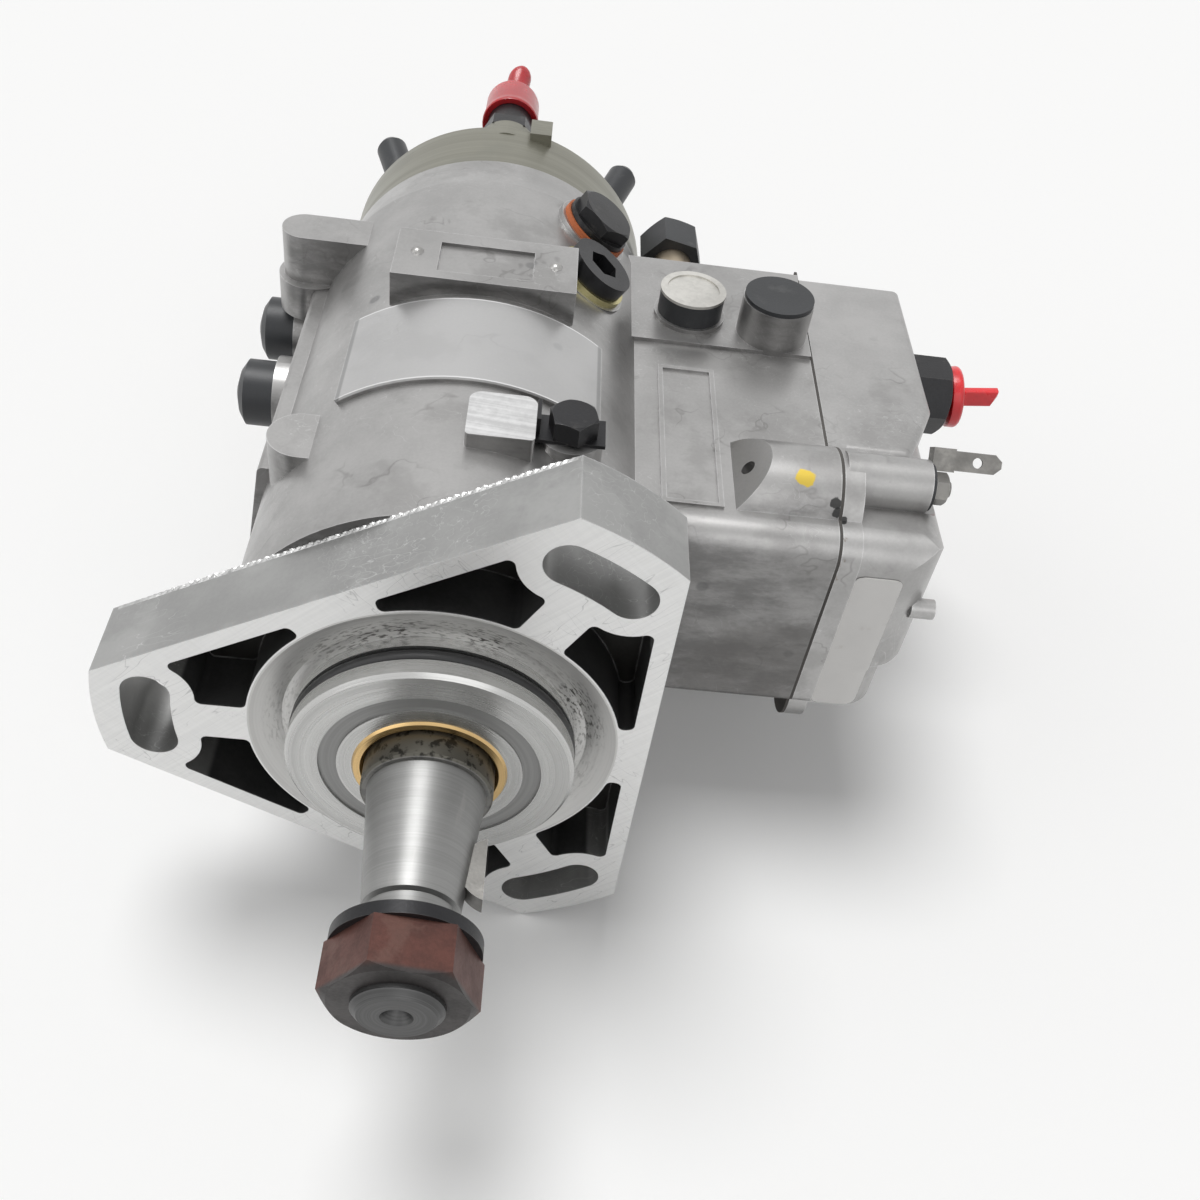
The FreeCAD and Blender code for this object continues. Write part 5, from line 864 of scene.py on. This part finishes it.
def makeBurr(look):
    # surface: along the edge each point of the profile stands out by a rounded saw wave, later for points nearer the
    # rear, so the teeth lean over like scales; the profile goes over the edge and closes beneath it
    start, end, outward, rise, floor = (np.array(look[k]) for k in ("start", "end", "outward", "rise", "floor"))
    back = np.array(look["back"]) * look["wide"]
    crest, even = look["crest"], look["evenShare"]
    span = np.linalg.norm(end - start)
    s = np.linspace(0.0, span, int(span / look["pitch"]) * look["perTooth"])
    wave = (s[:, None] / look["pitch"] + look["slant"] * back[None] / look["wide"]) % 1.0
    tooth = np.where(wave < crest, wave / crest, (1.0 - wave) / (1.0 - crest))
    uneven = even + (1.0 - even) * np.sin(s * look["waves"][0]) * np.sin(s * look["waves"][1] + 1.0)
    fade = np.clip(s / look["fadeIn"], 0.0, 1.0) * np.clip((span - s) / look["fadeOut"], look["fadeLeast"], 1.0)
    out = floor + rise * (look["low"] + look["high"] * tooth * uneven[:, None]) * fade[:, None]
    line = start + (end - start) * (s / span)[:, None]
    rings = line[:, None, :] + out[..., None] * outward
    rings[..., 1] += back
    shell = closedShell(rings, rings[0].mean(axis=0), rings[-1].mean(axis=0))
    makeShellPiece("flangeBurr", [shell], markedFinish("burrMetal", look["finish"]), "pump", sharp=25.0)


makeBurr(burrLook)
print("saw burr placed")


# studio: floor, world, soft lights

studio = {"floorGap": 0.0002, "floorSize": 14.0, "floorLit": (0.5, 0.5, 0.5), "floorSeen": (0.93, 0.93, 0.925),
    "worldLit": 0.3, "worldSeen": 0.93, "floorLift": 0.05, "white": (1.0, 1.0, 1.0, 1.0)}


def directlySeen(tree):
    # 1 for rays from the camera, in reflections and through clear plastic, 0 for light that falls on the part
    path = addNode(tree, "ShaderNodeLightPath").outputs
    bounced = calc(tree, "MAXIMUM", path["Is Glossy Ray"], path["Is Transmission Ray"])
    return calc(tree, "MAXIMUM", path["Is Camera Ray"], bounced)


def makeFloor(look):
    half = look["floorSize"] / 2.0
    z = cadBox[0][2] - look["floorGap"]
    mesh = bpy.data.meshes.new("studioFloor")
    corners = [(-half, -half, z), (half, -half, z), (half, half, z), (-half, half, z)]
    mesh.from_pydata(corners, [], [(0, 1, 2, 3)])
    floor = bpy.data.objects.new("studioFloor", mesh)
    scene.collection.objects.link(floor)
    material = bpy.data.materials.new("paleFloor")
    material.use_nodes = True
    tree = material.node_tree
    tree.nodes.clear()
    seen = directlySeen(tree)
    matt = addNode(tree, "ShaderNodeBsdfDiffuse", {
                   "Color": blendColor(tree, seen, look["floorLit"], look["floorSeen"])})
    lift = addNode(tree, "ShaderNodeEmission", {"Color": look["white"],
                   "Strength": times(tree, seen, look["floorLift"])})
    both = addNode(tree, "ShaderNodeAddShader", {0: matt.outputs[0], 1: lift.outputs[0]})
    addNode(tree, "ShaderNodeOutputMaterial", {"Surface": both.outputs[0]})
    mesh.materials.append(material)


def makeWorld(look):
    world = bpy.data.worlds.new("studioWorld")
    scene.world = world
    world.use_nodes = True
    tree = world.node_tree
    tree.nodes.clear()
    strength = mixNumber(tree, directlySeen(tree), look["worldLit"], look["worldSeen"])
    back = addNode(tree, "ShaderNodeBackground", {"Color": look["white"], "Strength": strength})
    addNode(tree, "ShaderNodeOutputWorld", {"Surface": back.outputs[0]})


def addSoftLight(name, place, aim, spread, strength):
    lamp = bpy.data.lights.new(name, "SUN")
    lamp.angle = math.radians(spread)        # a wide angle, so that shadows stay soft
    lamp.energy = strength
    holder = bpy.data.objects.new(name, lamp)
    scene.collection.objects.link(holder)
    holder.location = place
    holder.rotation_mode = "QUATERNION"
    holder.rotation_quaternion = (Vector(aim) - Vector(place)).to_track_quat("-Z", "Y")


# name, place, point aimed at, spread in degrees, strength
softLights = [
    ("keyAbove", (-0.5, 0.6, 2.5), (0.0, 0.06, 0.0), 30.0, 1.8),
    ("fillLeft", (-2.2, -0.4, 1.3), (0.0, 0.05, 0.0), 50.0, 0.4),
    ("fillFront", (0.5, -2.2, 1.6), (0.0, 0.05, 0.0), 40.0, 0.28),
]

makeFloor(studio)
makeWorld(studio)
for softLight in softLights:
    addSoftLight(*softLight)


# camera: where the photograph was taken from

cameraLook = {"place": (0.01186, -0.17475, 0.2228), "lens": 38.03, "sensor": 36.0, "clipStart": 0.01,
    "shift": (0.00106, 0.0153), "right": (0.99236, 0.01514, 0.12248),
    "down": (0.09605, -0.71793, -0.68946), "ahead": (0.07749, 0.69595, -0.71389)}


def makeCamera(look):
    camera = bpy.data.cameras.new("photoCamera")
    camera.sensor_fit = "HORIZONTAL"
    camera.sensor_width = look["sensor"]
    camera.lens = look["lens"]
    camera.shift_x, camera.shift_y = look["shift"]
    camera.clip_start = look["clipStart"]
    holder = bpy.data.objects.new("photoCamera", camera)
    scene.collection.objects.link(holder)
    right, down, ahead = (Vector(look[k]) for k in ("right", "down", "ahead"))
    turn = Matrix((right, -down, -ahead)).transposed().to_4x4()
    holder.matrix_world = Matrix.Translation(look["place"]) @ turn
    scene.camera = holder


makeCamera(cameraLook)
scene.view_settings.view_transform = "Standard"
print("studio and camera ready")
